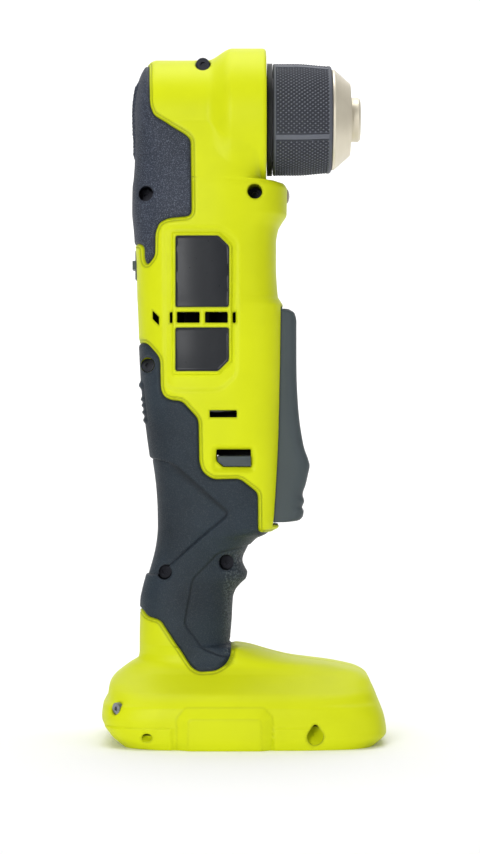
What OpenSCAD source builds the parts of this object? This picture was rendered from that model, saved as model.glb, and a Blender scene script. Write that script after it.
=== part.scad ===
// Right angle drill with a long paddle trigger, a keyless chuck and a battery foot.
// Millimetres. +X is the way the chuck points, +Z is up, and the foot stands on Z = 0.

/* [Foot] */
// Length of the battery foot, front to back
foot_l = 109.2; // [105:0.2:114]
// Width of the battery foot over its side blocks
foot_w = 78; // [74:0.5:82]
// Height of the upright sides of the foot
foot_side_h = 16; // [14.5:0.5:17.5]
// Height at which the handle leaves the foot
foot_top_z = 36; // [34:0.5:38]
// Thickness of the foot's base plate
base_t = 2.6; // [2:0.1:3.4]
// How far the side blocks stand out from the foot
block_raise = 1.2; // [0.8:0.1:1.6]
// Length of a side block
block_l = 35; // [28:0.5:40]
// Height of a side block
block_h = 15; // [12:0.5:16]
// Middle of a side block, from the middle of the foot
block_x = -7.2; // [-12:0.1:0]

/* [Handle] */
// Depth of the handle, front to back
handle_d = 36.4; // [34:0.2:39]
// Width of the handle
handle_w = 33; // [31:0.5:36]
// Middle of the handle, from the middle of the foot
handle_x = -22.5; // [-24:0.1:-21]
// Length of the handle from the foot to the trigger bay
handle_l = 46.5; // [44:0.5:50]
// Thickness of the soft grips
grip_t = 1.8; // [1.2:0.1:2.2]

/* [Body] */
// Place of the motor's axis, from the middle of the foot
body_x = -14.5; // [-16:0.1:-13]
// Depth of the body, front to back
body_d = 54.4; // [53:0.2:58]
// Width of the body
body_w = 52; // [50:0.5:56]
// Wall of the housing
wall = 2.6; // [2.2:0.1:3]
// Thickness of the ribs that hold the motor and the gearbox
rib_t = 2; // [1.5:0.1:2.6]
// How far the label panel stands out from the body
panel_raise = 0.8; // [0.4:0.1:1.2]
// Thickness of the label plates
label_t = 0.5; // [0.3:0.05:0.7]
// Height of the air slots beside the fan
vent_h = 4.2; // [3:0.1:5]
// Height of the air slots below the motor
low_vent_h = 2.7; // [2:0.1:4]

/* [Head] */
// Height of the chuck's axis
axis_z = 240.7; // [236:0.1:246]
// Radius of the head
head_r = 23; // [22:0.1:25]
// Radius of the collar behind the chuck
collar_r = 27.6; // [26.5:0.1:29]
// Length of the head, from its back to the collar's front face
head_l = 51.2; // [50:0.1:54]
// Front face of the collar, from the middle of the foot
collar_x = 8.6; // [7.6:0.1:9.6]
// Length of the collar
collar_l = 13; // [11:0.1:15]
// Radius of the collar's front edge
collar_edge = 1.6; // [0.8:0.1:2.4]

/* [Gear head] */
// Radius of the gear case round the spindle
case_r = 18; // [17.5:0.1:19]
// Radius of the gear case round the pinion
neck_r = 15; // [14:0.1:15.6]
// Length of the gear case's neck below the pinion's bearing
neck_l = 13.7; // [12:0.1:15]
// Wall of the gear case
case_wall = 1.4; // [1.2:0.1:1.8]
// Radius of the spindle
spindle_r = 6; // [5.5:0.1:6.5]
// Radius of the spindle's back journal
journal_r = 4; // [3.5:0.1:4.5]
// Outer radius of the front spindle bearing
front_bearing_r = 14; // [13:0.1:14.6]
// Width of the front spindle bearing
front_bearing_w = 8; // [7:0.1:9]
// Outer radius of the back spindle bearing
back_bearing_r = 11; // [10:0.1:12]
// Width of the back spindle bearing
back_bearing_w = 6; // [5:0.1:6.4]
// Teeth on the bevel pinion
pinion_teeth = 13; // [13:1:13]
// Teeth on the bevel gear
bevel_teeth = 22; // [22:1:22]
// Module of the bevel teeth
bevel_m = 1.4; // [1.36:0.01:1.42]
// Width of the bevel teeth along the cone
bevel_face = 6; // [5:0.1:6.5]

/* [Gearbox] */
// Room between the housing and the gearbox case for the speed selector's arm
selector_room = 5.6; // [5:0.1:6]
// Wall of the gearbox case round the ring gears
gearbox_wall = 1.4; // [1:0.1:2]
// Thickness of the ring gears down to their pitch circle
ring_t = 2.9; // [2.6:0.05:3.2]
// Teeth on a sun gear
sun_teeth = 12; // [12:1:12]
// Teeth on a planet gear
planet_teeth = 15; // [15:1:15]
// Width of the planet gears
gear_w = 8; // [7:0.1:8.4]
// Thickness of the planet carriers
carrier_t = 3; // [2.4:0.1:3.4]
// Radius of the planet pins
planet_pin_r = 1.6; // [1.3:0.05:1.9]
// Radius of the output shaft that carries the pinion
output_r = 4; // [3.6:0.1:4.4]
// Outer radius of the pinion's bearing
pinion_bearing_r = 9.5; // [9:0.1:11]
// Width of the pinion's bearing
pinion_bearing_w = 6; // [5:0.1:7]
// Room between the second carrier and the top of the gearbox case
gearbox_room = 6; // [5:0.1:7]
// Travel of the speed selector and its shift ring
shift_travel = 4; // [3:0.1:4]

/* [Motor] */
// Length of the stator
stator_l = 20; // [18:0.5:20.5]
// Depth of the stator, from its outside to the rotor
stator_t = 9; // [8.5:0.1:10]
// Air gap between the rotor and the stator
air_gap = 0.5; // [0.3:0.05:0.8]
// Wall of the sun pinion round the motor shaft
sun_wall = 0.9; // [0.7:0.05:1.2]
// Gap round the cooling fan
fan_gap = 2; // [1.5:0.1:4]
// Height of the cooling fan
fan_h = 7.5; // [6:0.1:8]
// Blades on the cooling fan
fan_blades = 11; // [7:1:13]
// Outer radius of the motor's bearings
motor_bearing_r = 6.5; // [6.2:0.1:7.5]
// Width of the motor's bearings
motor_bearing_w = 4; // [3.5:0.1:4.5]
// Thickness of the plates that hold the motor's bearings
plate_t = 5; // [4.6:0.1:5.4]

/* [Trigger] */
// Length of the paddle
paddle_l = 82.3; // [80:0.1:85]
// Width of the paddle
paddle_w = 25.4; // [23:0.2:27]
// How far the paddle stands out from the body
paddle_out = 7.6; // [7:0.1:8.6]
// How far the paddle's finger rest stands out from the body
paddle_peak = 12.7; // [11.5:0.1:13.5]
// Wall of the paddle
paddle_wall = 2.2; // [1.8:0.1:2.6]
// Radius of the pin that the paddle turns on
pivot_r = 1.5; // [1.2:0.1:1.8]
// How far the paddle turns, in degrees
paddle_turn = 4.5; // [3:0.1:4.5]
// Length of the switch, front to back
switch_l = 21; // [18:0.5:22]
// Width of the switch
switch_w = 17; // [14:0.5:18]
// Height of the switch
switch_h = 16.5; // [14:0.5:17]
// Radius of the switch's plunger
plunger_r = 2.4; // [2:0.1:3]
// Outer radius of the paddle's return spring
spring_r = 3.4; // [3:0.1:4]
// Radius of the spring's wire
spring_wire = 0.45; // [0.35:0.05:0.5]
// Length of the direction selector, front to back
selector_l = 12.8; // [11:0.1:14]
// Height of the direction selector
selector_h = 4; // [3.4:0.1:4.6]
// Width of the speed selector
knob_w = 9; // [7:0.1:10]
// Height of the speed selector
knob_h = 11; // [9:0.1:12]

/* [Chuck] */
// Radius of the sleeve at its back
sleeve_r = 21.8; // [21:0.1:23]
// Radius of the sleeve at its front
sleeve_front_r = 20.7; // [20.2:0.1:21]
// Length of the sleeve
sleeve_l = 22.7; // [22:0.1:23.4]
// Wall of the sleeve
sleeve_wall = 2.4; // [2:0.1:2.8]
// Thickness of the ring behind the sleeve
back_ring_t = 1.9; // [1.6:0.1:2.4]
// Radius of the chuck's body
core_r = 16; // [15.5:0.1:17]
// Radius of the nose at its back
nose_r = 19.5; // [19:0.1:20]
// Radius of the nose's front face
nose_face_r = 14; // [12.5:0.1:15]
// Length of the nose
nose_l = 7.1; // [6.6:0.1:7.6]
// Radius of the ring on the nose
nose_ring_r = 8.6; // [8:0.1:9.5]
// Length of the ring on the nose
nose_ring_l = 3.9; // [3:0.1:4.4]
// Radius of the bore that a drill bit goes into
bit_r = 5.5; // [5.3:0.05:5.8]
// Radius of a jaw
jaw_r = 2.6; // [2.3:0.05:2.8]
// Length of a jaw
jaw_l = 17; // [15:0.1:17.5]
// Slope of the jaws to the chuck's axis, in degrees
jaw_slope = 17; // [16:0.5:18]
// Travel of a jaw along its slope
jaw_travel = 17.5; // [17:0.1:17.9]
// Radius of the spindle's threaded end
thread_r = 4.76; // [4.3:0.02:5]

/* [Battery and electronics] */
// Length of the battery's socket, front to back
socket_l = 25; // [22:0.5:26]
// Width of the battery's socket
socket_w = 21; // [18:0.5:22]
// Depth of the battery's socket
socket_h = 50; // [46:0.5:50.5]
// Height of the terminal block
terminal_h = 8; // [6:0.2:9]
// Length of the control board
board_l = 44; // [36:0.5:46]
// Width of the control board
board_w = 40; // [32:0.5:44]
// Radius of the lamp's lens
lens_r = 2.7; // [2.2:0.1:3.2]

/* [Fasteners and fits] */
// Radius of the housing screws
screw_r = 1.5; // [1.3:0.05:1.7]
// Radius of the screws' heads
screw_head_r = 2.6; // [2.4:0.05:2.8]
// Wall of the bosses round the screws
boss_wall = 1.8; // [1.6:0.1:2]
// Radial clearance of a part that turns
run_fit = 0.04; // [0.02:0.01:0.08]
// Gap between parts that move past each other
gap = 0.3; // [0.25:0.01:0.4]
// Gap round a part that is set into the housing
seat_fit = 0.1; // [0.05:0.01:0.2]

/* [Hidden] */
$fn = 48;
eps = 0.02;
big = 400;
lime = [0.80, 0.86, 0.13];
slate = [0.25, 0.28, 0.32];
steel = [0.72, 0.71, 0.68];
dark_steel = [0.36, 0.37, 0.39];
black = [0.12, 0.12, 0.13];
copper = [0.76, 0.45, 0.22];
brass = [0.80, 0.66, 0.32];
aluminium = [0.70, 0.72, 0.74];

// Heights of the foot, the handle, the trigger bay and the head
trigger_z = foot_top_z + handle_l;
paddle_z = trigger_z + 1.8;
paddle_top = paddle_z + paddle_l;
foot_half = foot_w / 2 - block_raise;
handle_half = handle_w / 2;
handle_back = handle_x - handle_d / 2;
handle_front = handle_x + handle_d / 2;
body_half = body_w / 2;
body_back = body_x - body_d / 2;
body_front = body_x + body_d / 2;
head_back = collar_x - head_l;

// The gearbox and the motor fill the body, and the planet teeth fill the gearbox.
addendum = 0.8;
dedendum = 1.12;
ring_teeth = sun_teeth + 2 * planet_teeth;
gearbox_r = body_d / 2 - wall - selector_room;
ring_r = gearbox_r - gearbox_wall;
gear_m = 2 * (ring_r - ring_t) / ring_teeth;
stator_r = gearbox_r;
rotor_r = stator_r - stator_t;
shaft_r = (sun_teeth / 2 - dedendum) * gear_m - sun_wall;
fan_r = stator_r - fan_gap;

// The housing's sections from the floor to the chuck's axis. Each row holds the height, the back,
// the front, the half width, how square the back and the front are, and how far the hollow's
// section is moved up to keep the wall even where the surface slopes.
rows = [
  [0, 8.6 - foot_l / 2, foot_l / 2 - 4.6, foot_half - 1, 5, 5, base_t],
  [0.3 * foot_side_h, 3.1 - foot_l / 2, foot_l / 2, foot_half, 5, 5, 0],
  [0.65 * foot_side_h, -foot_l / 2, foot_l / 2 - 0.8, foot_half, 5, 5, 0],
  [foot_side_h - 0.7, 0.5 - foot_l / 2, foot_l / 2 - 2.5, foot_half - 0.5, 4.6, 4.6, -1],
  [foot_side_h + 1, 1.9 - foot_l / 2, foot_l / 2 - 3.2, foot_half - 1.4, 4.4, 4.2, -1.6],
  [foot_top_z - 16, 2.3 - foot_l / 2, foot_l / 2 - 4.4, foot_half - 4.2, 4, 4.6, -1.8],
  [foot_top_z - 13.7, 2.7 - foot_l / 2, foot_l / 2 - 5.5, foot_half - 8.6, 3.8, 5, -1.8],
  [foot_top_z - 11.4, 4.3 - foot_l / 2, foot_l / 2 - 6.6, handle_half + 8.2, 3.5, 5.4, -1.8],
  [foot_top_z - 9, 7 - foot_l / 2, foot_l / 2 - 10, handle_half + 4.2, 3.2, 5.4, -1.8],
  [foot_top_z - 6.7, handle_back - 3.8, foot_l / 2 - 18.6, handle_half + 2, 3, 4.4, -1.8],
  [foot_top_z - 4.3, handle_back - 0.4, handle_front + 23.8, handle_half + 1, 2.8, 3.4, -1.8],
  [foot_top_z - 2, handle_back, handle_front + 14.8, handle_half + 0.5, 2.6, 2.6, -1.8],
  [foot_top_z + 0.3, handle_back, handle_front + 6.6, handle_half + 0.3, 2.6, 2.5, -1.8],
  [foot_top_z + 0.8, handle_back, handle_front - 0.8, handle_half + 0.1, 2.5, 2.5, -1.8],
  [foot_top_z + 10, handle_back + 0.1, handle_front - 0.2, handle_half, 2.5, 2.5, 0],
  [trigger_z - 28, handle_back + 0.5, handle_front + 0.3, handle_half, 2.5, 2.5, 0],
  [trigger_z - 25, handle_back + 1.1, handle_front + 1.2, handle_half, 2.5, 2.5, 0],
  [trigger_z - 22.5, handle_back + 1.7, handle_front + 3.2, handle_half, 2.5, 2.4, 0],
  [trigger_z - 20.3, handle_back + 2.3, handle_front + 5.4, handle_half + 0.2, 2.5, 2.3, 0],
  [trigger_z - 18, handle_back + 2.9, handle_front + 5.9, handle_half + 0.4, 2.5, 2.3, 0],
  [trigger_z - 15.7, handle_back + 3.6, handle_front + 4.8, handle_half + 0.6, 2.5, 2.4, 0],
  [trigger_z - 13.3, handle_back + 4.3, handle_front + 4, handle_half + 0.9, 2.5, 2.4, 0],
  [trigger_z - 8.8, handle_back + 5.4, handle_front + 5.6, handle_half + 1.8, 2.5, 2.5, 0],
  [trigger_z - 4.4, handle_back + 6.1, handle_front + 9.4, handle_half + 2.8, 2.6, 2.6, 1.5],
  [trigger_z - 2.2, handle_back + 6.3, handle_front + 15.4, handle_half + 3.4, 2.7, 2.8, 1.5],
  [trigger_z, body_back + 7.4, body_front + 0.9, handle_half + 3.9, 2.7, 3, 1.5],
  [trigger_z + 7, body_back + 7.3, body_front + 1.1, body_half - 4.9, 2.8, 3.2, 0],
  [trigger_z + 14, body_back + 6.9, body_front + 1.3, body_half - 4, 2.8, 3.2, 0],
  [paddle_top - 50, body_back + 4.2, body_front + 1.9, body_half - 1.9, 3, 3.2, 0],
  [paddle_top - 30, body_back + 1.9, body_front + 2.2, body_half - 0.5, 3, 3.2, 0],
  [paddle_top - 16, body_back + 1.1, body_front + 2.4, body_half, 3, 3.2, 0],
  [paddle_top + 0.9, body_back + 0.4, body_front + 2.6, body_half, 3, 3.2, 0],
  [paddle_top + 3, body_back + 0.3, body_front + 1.6, body_half, 3, 3.1, 0],
  [paddle_top + 5, body_back + 0.2, body_front + 0.5, body_half, 3, 3, 0],
  [axis_z - 56.7, body_back, body_front - 0.2, body_half, 3, 2.9, 0],
  [axis_z - 48.7, body_back - 0.6, body_front - 0.2, body_half, 3, 2.8, 0],
  [axis_z - 43.2, body_back - 1, body_front + 0.6, body_half, 3, 2.7, 0],
  [axis_z - 39.7, body_back - 1.4, body_front + 2.4, body_half, 3, 2.6, 0],
  [axis_z - 37.2, body_back - 1.6, body_front + 3.9, body_half, 3, 2.5, 0],
  [axis_z - 27.7, body_back - 1.5, body_front + 4.1, body_half - 0.2, 3, 2.5, -0.6],
  [axis_z - 25.4, body_back - 1.3, body_front + 2.8, body_half - 0.4, 3, 2.5, 0],
  [axis_z - 24.5, body_back - 1.1, collar_x - 2, body_half - 0.5, 3, 3.5, 0],
  [axis_z - 14.7, head_back + 0.4, collar_x - 2, body_half - 1.6, 3.2, 4, 0],
  [axis_z, head_back + 0.5, collar_x - 2, head_r - 0.6, 3.6, 5, 0]
];
section_steps = 14;
hollow_steps = 10;
hollow_top_row = 39;

// One point of a section: 180 degrees is the back, 90 the side and 0 the front.
function section_point(row, angle) =
  let (
    middle = (row[1] + row[2]) / 2,
    reach = (row[2] - row[1]) / 2,
    power = cos(angle) < 0 ? 2 / row[4] : 2 / row[5]
  )
  [
    middle + reach * sign(cos(angle)) * pow(abs(cos(angle)), power),
    abs(sin(angle)) < eps ? 0 : -row[3] * pow(abs(sin(angle)), power),
    row[0]
  ];

function half_section(row, steps) =
  [for (k = [0:steps]) section_point(row, 180 - 180 * k / steps)];

function whole_section(row, steps) =
  let (half = half_section(row, steps))
  concat(half, [for (k = [steps - 1:-1:1]) [half[k][0], -half[k][1], half[k][2]]]);

function inset_row(row, inset) =
  [row[0], row[1] + inset, row[2] - inset, row[3] - inset, row[4], row[5]];

// A closed skin over a stack of sections that have the same number of points.
module skin(sections) {
  count = len(sections[0]);
  last = len(sections) - 1;
  sides = [
    for (i = [0:last - 1], j = [0:count - 1])
      let (a = i * count + j, b = i * count + (j + 1) % count)
      each [[a, a + count, b + count], [a, b + count, b]]
  ];
  floor_face = [[for (j = [0:count - 1]) j]];
  roof_face = [[for (j = [count - 1:-1:0]) last * count + j]];
  polyhedron(points = [for (s = sections) each s], faces = concat(sides, floor_face, roof_face));
}

module half_column(inset = 0) {
  skin([for (row = rows) half_section(inset_row(row, inset), section_steps)]);
}

// The space inside the body, the handle and the foot.
module hollow() {
  skin([
    for (i = [0:hollow_top_row])
      let (row = inset_row(rows[i], wall))
      whole_section(concat([max(row[0] + rows[i][6], base_t + eps * i)],
        [for (k = [1:5]) row[k]]), hollow_steps)
  ]);
}

// Turns what is drawn about Z onto the chuck's axis, with Z along +X.
module on_chuck_axis() {
  translate([0, 0, axis_z]) rotate([0, 90, 0]) children();
}

module along_y(x, z, from, to, r) {
  translate([x, from, z]) rotate([-90, 0, 0]) cylinder(h = to - from, r = r);
}

// The head's outline as radius and place along the chuck's axis.
back_curve = 9;
back_flat = 3;
rise_l = 10;
function smooth(t) = t * t * (3 - 2 * t);
function head_outline(inset) = concat(
  [[0, head_back + inset]],
  [
    for (a = [0:15:90])
      [back_flat + (head_r - inset - back_flat) * sin(a),
        head_back + back_curve - (back_curve - inset) * cos(a)]
  ],
  [
    for (k = [0:6])
      [head_r - inset + (collar_r - head_r) * smooth(k / 6), collar_x - collar_l - rise_l * (1 - k / 6)]
  ],
  [
    for (a = [90:-30:0])
      [collar_r - inset - collar_edge * (1 - sin(a)), collar_x - inset - collar_edge * (1 - cos(a))]
  ],
  [[0, collar_x - inset]]
);

module half_head(inset = 0) {
  mirror([0, 1, 0]) on_chuck_axis() rotate_extrude(angle = 180) polygon(head_outline(inset));
}

module half_form(inset = 0) {
  half_column(inset);
  half_head(inset);
}

// Outlines on the side of the tool, as X and Z, drawn through its whole width.
module across(reach = big) {
  translate([0, reach / 2, 0]) rotate([90, 0, 0]) linear_extrude(reach) children();
}

module head_grip_outline() {
  polygon([
    [-big, axis_z + 20.6], [head_back + 5.6, axis_z + 20.6], [head_back + 6.4, axis_z + 3],
    [head_back + 8, axis_z - 1], [body_x - 7.6, axis_z - 8.6], [body_x - 5.8, axis_z - 10.6],
    [body_x - 5.4, axis_z - 38.4], [body_x - 6.6, axis_z - 39.8], [body_x - 14.4, axis_z - 40.4],
    [body_back + 9.2, axis_z - 42], [body_back + 7.6, axis_z - 45.6], [body_back + 7.4, axis_z - 54.6],
    [body_back + 4.4, axis_z - 58], [body_back + 3.2, axis_z - 55.6], [body_back + 3.2, axis_z - 50.8],
    [body_back + 0.8, axis_z - 49.2], [-big, axis_z - 49.2]
  ]);
}

module handle_grip_outline() {
  polygon([
    [-big, paddle_top - 13], [body_back + 4, paddle_top - 13.4], [body_back + 8.6, paddle_top - 18.4],
    [body_back + 9.4, paddle_top - 20.4], [body_back + 9.6, paddle_top - 31.2],
    [body_back + 10.8, paddle_top - 34], [body_x - 13.8, paddle_top - 35.4],
    [body_x - 9.2, paddle_top - 35.8], [body_x - 3.4, paddle_top - 42],
    [body_x - 2.8, paddle_top - 44], [body_x - 2.6, paddle_top - 59.2],
    [body_x - 1.2, paddle_top - 63], [body_x + 2.6, paddle_top - 65.6],
    [body_x + 13, paddle_top - 65.4], [body_x + 20, paddle_top - 70.8],
    [body_x + 20.2, trigger_z - 2.6], [big, trigger_z - 2.6], [big, foot_top_z + 2.8],
    [handle_front - 0.6, foot_top_z + 2.8], [handle_front - 0.6, foot_top_z - 1.6],
    [handle_front - 2.4, foot_top_z - 5.4],
    [handle_front - 6.4, foot_top_z - 7.6], [handle_front - 13, foot_top_z - 8],
    [handle_front - 16, foot_top_z - 6.4], [handle_front - 28, foot_top_z + 11],
    [handle_back + 3, foot_top_z + 12.2], [handle_back + 1, foot_top_z + 14.8],
    [-big, foot_top_z + 14.8]
  ]);
}

// The layer of the right side that a grip fills.
module grip_layer() {
  difference() {
    children();
    half_form(grip_t);
  }
}

module right_grip() {
  intersection() {
    half_form();
    grip_layer() children();
  }
}

module side_grip(side) {
  color(slate) mirror([0, side, 0]) difference() {
    right_grip() children();
    housing_screw_holes(side);
    paddle_bay();
    knob_window();
  }
}

module right_head_grip() { side_grip(0) across() head_grip_outline(); }
module left_head_grip() { side_grip(1) across() head_grip_outline(); }
module right_handle_grip() { side_grip(0) across() handle_grip_outline(); }
module left_handle_grip() { side_grip(1) across() handle_grip_outline(); }

// The gear train's levels, counted down from the chuck's axis.
pinion_pitch_r = pinion_teeth * bevel_m / 2;
bevel_pitch_r = bevel_teeth * bevel_m / 2;
cone_l = sqrt(pow(pinion_pitch_r, 2) + pow(bevel_pitch_r, 2));
pinion_cone = atan(pinion_pitch_r / bevel_pitch_r);
pinion_back_z = axis_z - bevel_pitch_r - 3;
pinion_bearing_top = pinion_back_z - 2 * gap;
pinion_bearing_z = pinion_bearing_top - pinion_bearing_w;
gearbox_top = pinion_bearing_z - neck_l;
second_carrier_z = gearbox_top - gearbox_room - carrier_t;
second_gear_z = second_carrier_z - gap - gear_w;
first_carrier_z = second_gear_z - gap - carrier_t - 1.6;
first_gear_z = first_carrier_z - gap - gear_w;
back_plate_z = first_gear_z - 2 * gap - plate_t;
fan_z = back_plate_z - 2 * gap - fan_h;
coil_t = 2.4;
stator_z = fan_z - 2 * gap - coil_t - stator_l;
end_plate_z = stator_z - coil_t - 2 * gap - plate_t;

// The switch, the selectors and the paddle's pivot
pivot_x = body_front - 2.4;
pivot_z = paddle_top - 4;
switch_front = body_front - 10;
switch_z = trigger_z + 4;
plunger_z = switch_z + 9;
selector_x = body_x + 10.7;
selector_z = switch_z + switch_h + 5;
selector_half = body_half - 3.2;
window_gap = 0.4;
window_over = 2;
spring_z = selector_z + 9;
spring_back = body_front - 9;
knob_z = second_gear_z - 6.4;
fork_z = second_gear_z + gear_w / 2;

// The housing screws as X, Z and how far the head lies from the seam.
screws = [
  [body_x - 1.4, axis_z + case_r + screw_r + 0.8, 6.5],
  [body_back + 4.1, axis_z - 30.6, 6.5],
  [body_x + 18.7, axis_z - 30, 6.5],
  [body_back + 4.6, stator_z + stator_l / 2, 5.5],
  [handle_back + 10, trigger_z - 17.2, 6.5],
  [handle_front - 2.2, trigger_z - 13.6, 6.5],
  [foot_l / 2 - 28, base_t + screw_r + 1, 26]
];
screw_head_h = 2.4;
screw_l = 9;
boss_r = screw_r + seat_fit + boss_wall;

module housing_screw_holes(side) {
  for (s = screws) {
    along_y(s[0], s[1], -s[2] - screw_l, eps, screw_r + seat_fit);
    if (side == 0) along_y(s[0], s[1], -big, -s[2], screw_head_r + gap);
  }
}

module housing_screws() {
  color(steel) for (s = screws) difference() {
    union() {
      along_y(s[0], s[1], -s[2], min(s[2], screw_l), screw_r);
      along_y(s[0], s[1], -s[2] - screw_head_h, -s[2], screw_head_r);
    }
    translate([s[0], -s[2] - screw_head_h, s[1]]) rotate([-90, 0, 0])
      cylinder(h = 3, r = 1.1, center = true, $fn = 6);
  }
}

// Two short screws in the back corners of the foot, square to its rounded corner.
foot_screw_angle = 40;
foot_screw_z = 14.9;
foot_screw_in = 12.4;
foot_screw_r = 2.2;
module at_foot_screw(side) {
  mirror([0, side, 0]) translate([foot_screw_in - foot_l / 2, foot_screw_in - foot_half, foot_screw_z])
    rotate([0, 0, 180 + foot_screw_angle]) rotate([0, 90, 0]) children();
}

module foot_screws() {
  color(steel) for (side = [0, 1]) at_foot_screw(side) difference() {
    union() {
      cylinder(h = 8, r = screw_r);
      translate([0, 0, 6.4]) cylinder(h = 1.6, r = foot_screw_r);
    }
    translate([0, 0, 8]) cylinder(h = 1.6, r = 0.9, center = true, $fn = 6);
  }
}

module foot_screw_hole() {
  at_foot_screw(0) {
    translate([0, 0, -eps]) cylinder(h = 7, r = screw_r + seat_fit);
    translate([0, 0, 6.4]) cylinder(h = 20, r = foot_screw_r + seat_fit);
  }
}

// Openings in the housing.
paddle_gap = 0.5;
paddle_sink = (paddle_l - 4) * sin(paddle_turn) + 2.1;
module paddle_bay() {
  translate([body_front - paddle_sink, -paddle_w / 2 - paddle_gap, paddle_z - 1.1])
    cube([big, paddle_w + 2 * paddle_gap, paddle_l + 2]);
}

module selector_window() {
  low = selector_z - selector_h / 2 - window_gap;
  across() translate([selector_x - selector_l / 2 - window_gap, low])
    square([selector_l + 2 * window_gap, selector_h + 2 * window_gap + window_over]);
}

knob_gap = 0.4;
module knob_window() {
  translate([body_back - big, -knob_w / 2 - knob_gap, knob_z - shift_travel - knob_gap])
    cube([big + wall + 0.7, knob_w + 2 * knob_gap, knob_h + shift_travel + 2 * knob_gap]);
}

vent_z = fan_z + fan_h / 2 + 1;
low_vent_z = end_plate_z - 0.8;
vents = [[-13.4, 1.2], [-6.6, 8.6], [4, 8.6], [10.8, 1.2]];
module vent_slots() {
  for (v = vents)
    translate([body_x + v[0] - v[1] / 2, -big, vent_z - vent_h / 2]) cube([v[1], big - 12, vent_h]);
  translate([body_x + 1.4, -big, low_vent_z - low_vent_h / 2]) cube([10.4, big - 12, low_vent_h]);
  translate([0, 0, vent_z - 3]) across() polygon([
    [body_x - 20.6, 2.6], [body_x - 18, 0], [body_x - 18, 3.4], [body_x - 20.6, 6]
  ]);
}

lens_x = body_front + 4.4;
lens_z = axis_z - 29.8;
lens_l = 3.4;
flange_t = 1;
lamp_board_t = 1.6;
lamp_board_w = 14;
lamp_board_h = 9;
module lamp_hole() {
  translate([lens_x - lens_l - eps, 0, lens_z]) rotate([0, 90, 0])
    cylinder(h = big, r = lens_r + seat_fit);
  translate([lens_x - lens_l - flange_t - lamp_board_t - seat_fit,
      -lamp_board_w / 2 - seat_fit, lens_z + 4 - lamp_board_h])
    cube([flange_t + lamp_board_t + 2 * seat_fit, lamp_board_w + 2 * seat_fit, lamp_board_h + seat_fit]);
}

// The panel that carries the two label plates.
panel_x = body_x - 1.3;
panel_l = 28;
panel_z = vent_z + 3.6;
panel_h = 60;
panel_corner = 6;
module panel_outline(inset = 0) {
  half_l = panel_l / 2 - panel_corner;
  half_h = panel_h / 2 - panel_corner;
  translate([panel_x, panel_z]) for (a = [-1, 1], b = [-1, 1])
    translate([a * half_l, b * half_h]) circle(r = panel_corner - inset);
  translate([panel_x, panel_z]) square([panel_l - 2 * inset, 2 * half_h], center = true);
  translate([panel_x, panel_z]) square([2 * half_l, panel_h - 2 * inset], center = true);
}

label_l = 20;
label_cut = 4;
upper_label_h = 27;
lower_label_h = 16.4;
label_gap = 1.8;
module label_outlines() {
  translate([panel_x - label_l / 2, vent_z + vent_h / 2 + label_gap])
    polygon([[0, 0], [label_l, 0], [label_l, upper_label_h - label_cut],
      [label_l - label_cut, upper_label_h], [0, upper_label_h]]);
  translate([panel_x - label_l / 2, vent_z - vent_h / 2 - label_gap - lower_label_h])
    polygon([[0, 0], [label_l - label_cut, 0], [label_l, label_cut], [label_l, lower_label_h],
      [0, lower_label_h]]);
}

module label_seat(reach) {
  intersection() {
    translate([0, -big / 2, 0]) across(big - 24) label_outlines();
    difference() {
      half_column(-panel_raise - reach);
      half_column(label_t - panel_raise);
    }
  }
}

module label_plates() {
  color(black) label_seat(0);
}

module side_panel() {
  intersection() {
    half_column(-panel_raise);
    translate([0, -big / 2, 0]) across(big - 24) panel_outline();
  }
}

module side_block() {
  translate([block_x - block_l / 2, -foot_w / 2, 0]) cube([block_l, 8, block_h]);
}

// The gear case's outline as radius and place along the chuck's axis.
case_back = head_back + wall + 1.2;
case_front = collar_x - 3;
case_slope = 5;
function case_outline(extra) = [
  [0, case_back - extra], [case_r - case_slope + extra / 2, case_back - extra],
  [case_r + extra, case_back + case_slope], [case_r + extra, case_front + extra], [0, case_front + extra]
];

// Ribs and bosses inside a housing half, kept within its outer surface.
module rib(z, r) {
  difference() {
    translate([-big / 2, -big, z]) cube([big, big, rib_t]);
    translate([body_x, 0, z - eps]) cylinder(h = rib_t + 2 * eps, r = r + seat_fit);
  }
}

socket_x = handle_x;
terminal_z = socket_h + base_t;
blade_t = 0.8;
blade_w = 6;
blade_pitch = 6;
blade_reach = 13;
blade_root = 5;
board_z = base_t + 2 * screw_r + 6;
board_x = foot_l / 2 - 8 - board_l / 2;
module inner_ribs() {
  rib(end_plate_z + plate_t / 2, stator_r);
  rib(stator_z + 3, stator_r);
  rib(stator_z + stator_l - 3 - rib_t, stator_r);
  rib(back_plate_z + plate_t / 2, gearbox_r);
  rib(second_gear_z + gear_w, gearbox_r);
  translate([switch_front - switch_l - 4, -big, switch_z - rib_t])
    cube([switch_l + 3, big, rib_t]);
  translate([switch_front - switch_l - rib_t, -big, switch_z - rib_t])
    cube([rib_t, big, switch_h + rib_t]);
  translate([spring_back - rib_t, -big, spring_z - 4]) cube([rib_t, big, 8]);
  translate([handle_back, -big, terminal_z + terminal_h]) cube([handle_d, big, rib_t]);
  for (x = [-1, 1])
    translate([board_x + x * board_l / 3 - rib_t / 2, -board_w / 2, 0])
      cube([rib_t, board_w / 2, board_z]);
  difference() {
    translate([socket_x - socket_l / 2 - rib_t, -socket_w / 2 - rib_t, 0])
      cube([socket_l + 2 * rib_t, socket_w / 2 + rib_t, terminal_z]);
    translate([socket_x - blade_w / 2 - 1, -blade_pitch - 2, 0])
      cube([blade_w + 2, 2 * blade_pitch + 4, terminal_z + eps]);
  }
  for (s = screws) along_y(s[0], s[1], -big, 0, boss_r);
  along_y(pivot_x, pivot_z, -big, -paddle_w / 2 - paddle_gap, pivot_r + boss_wall);
}

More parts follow.
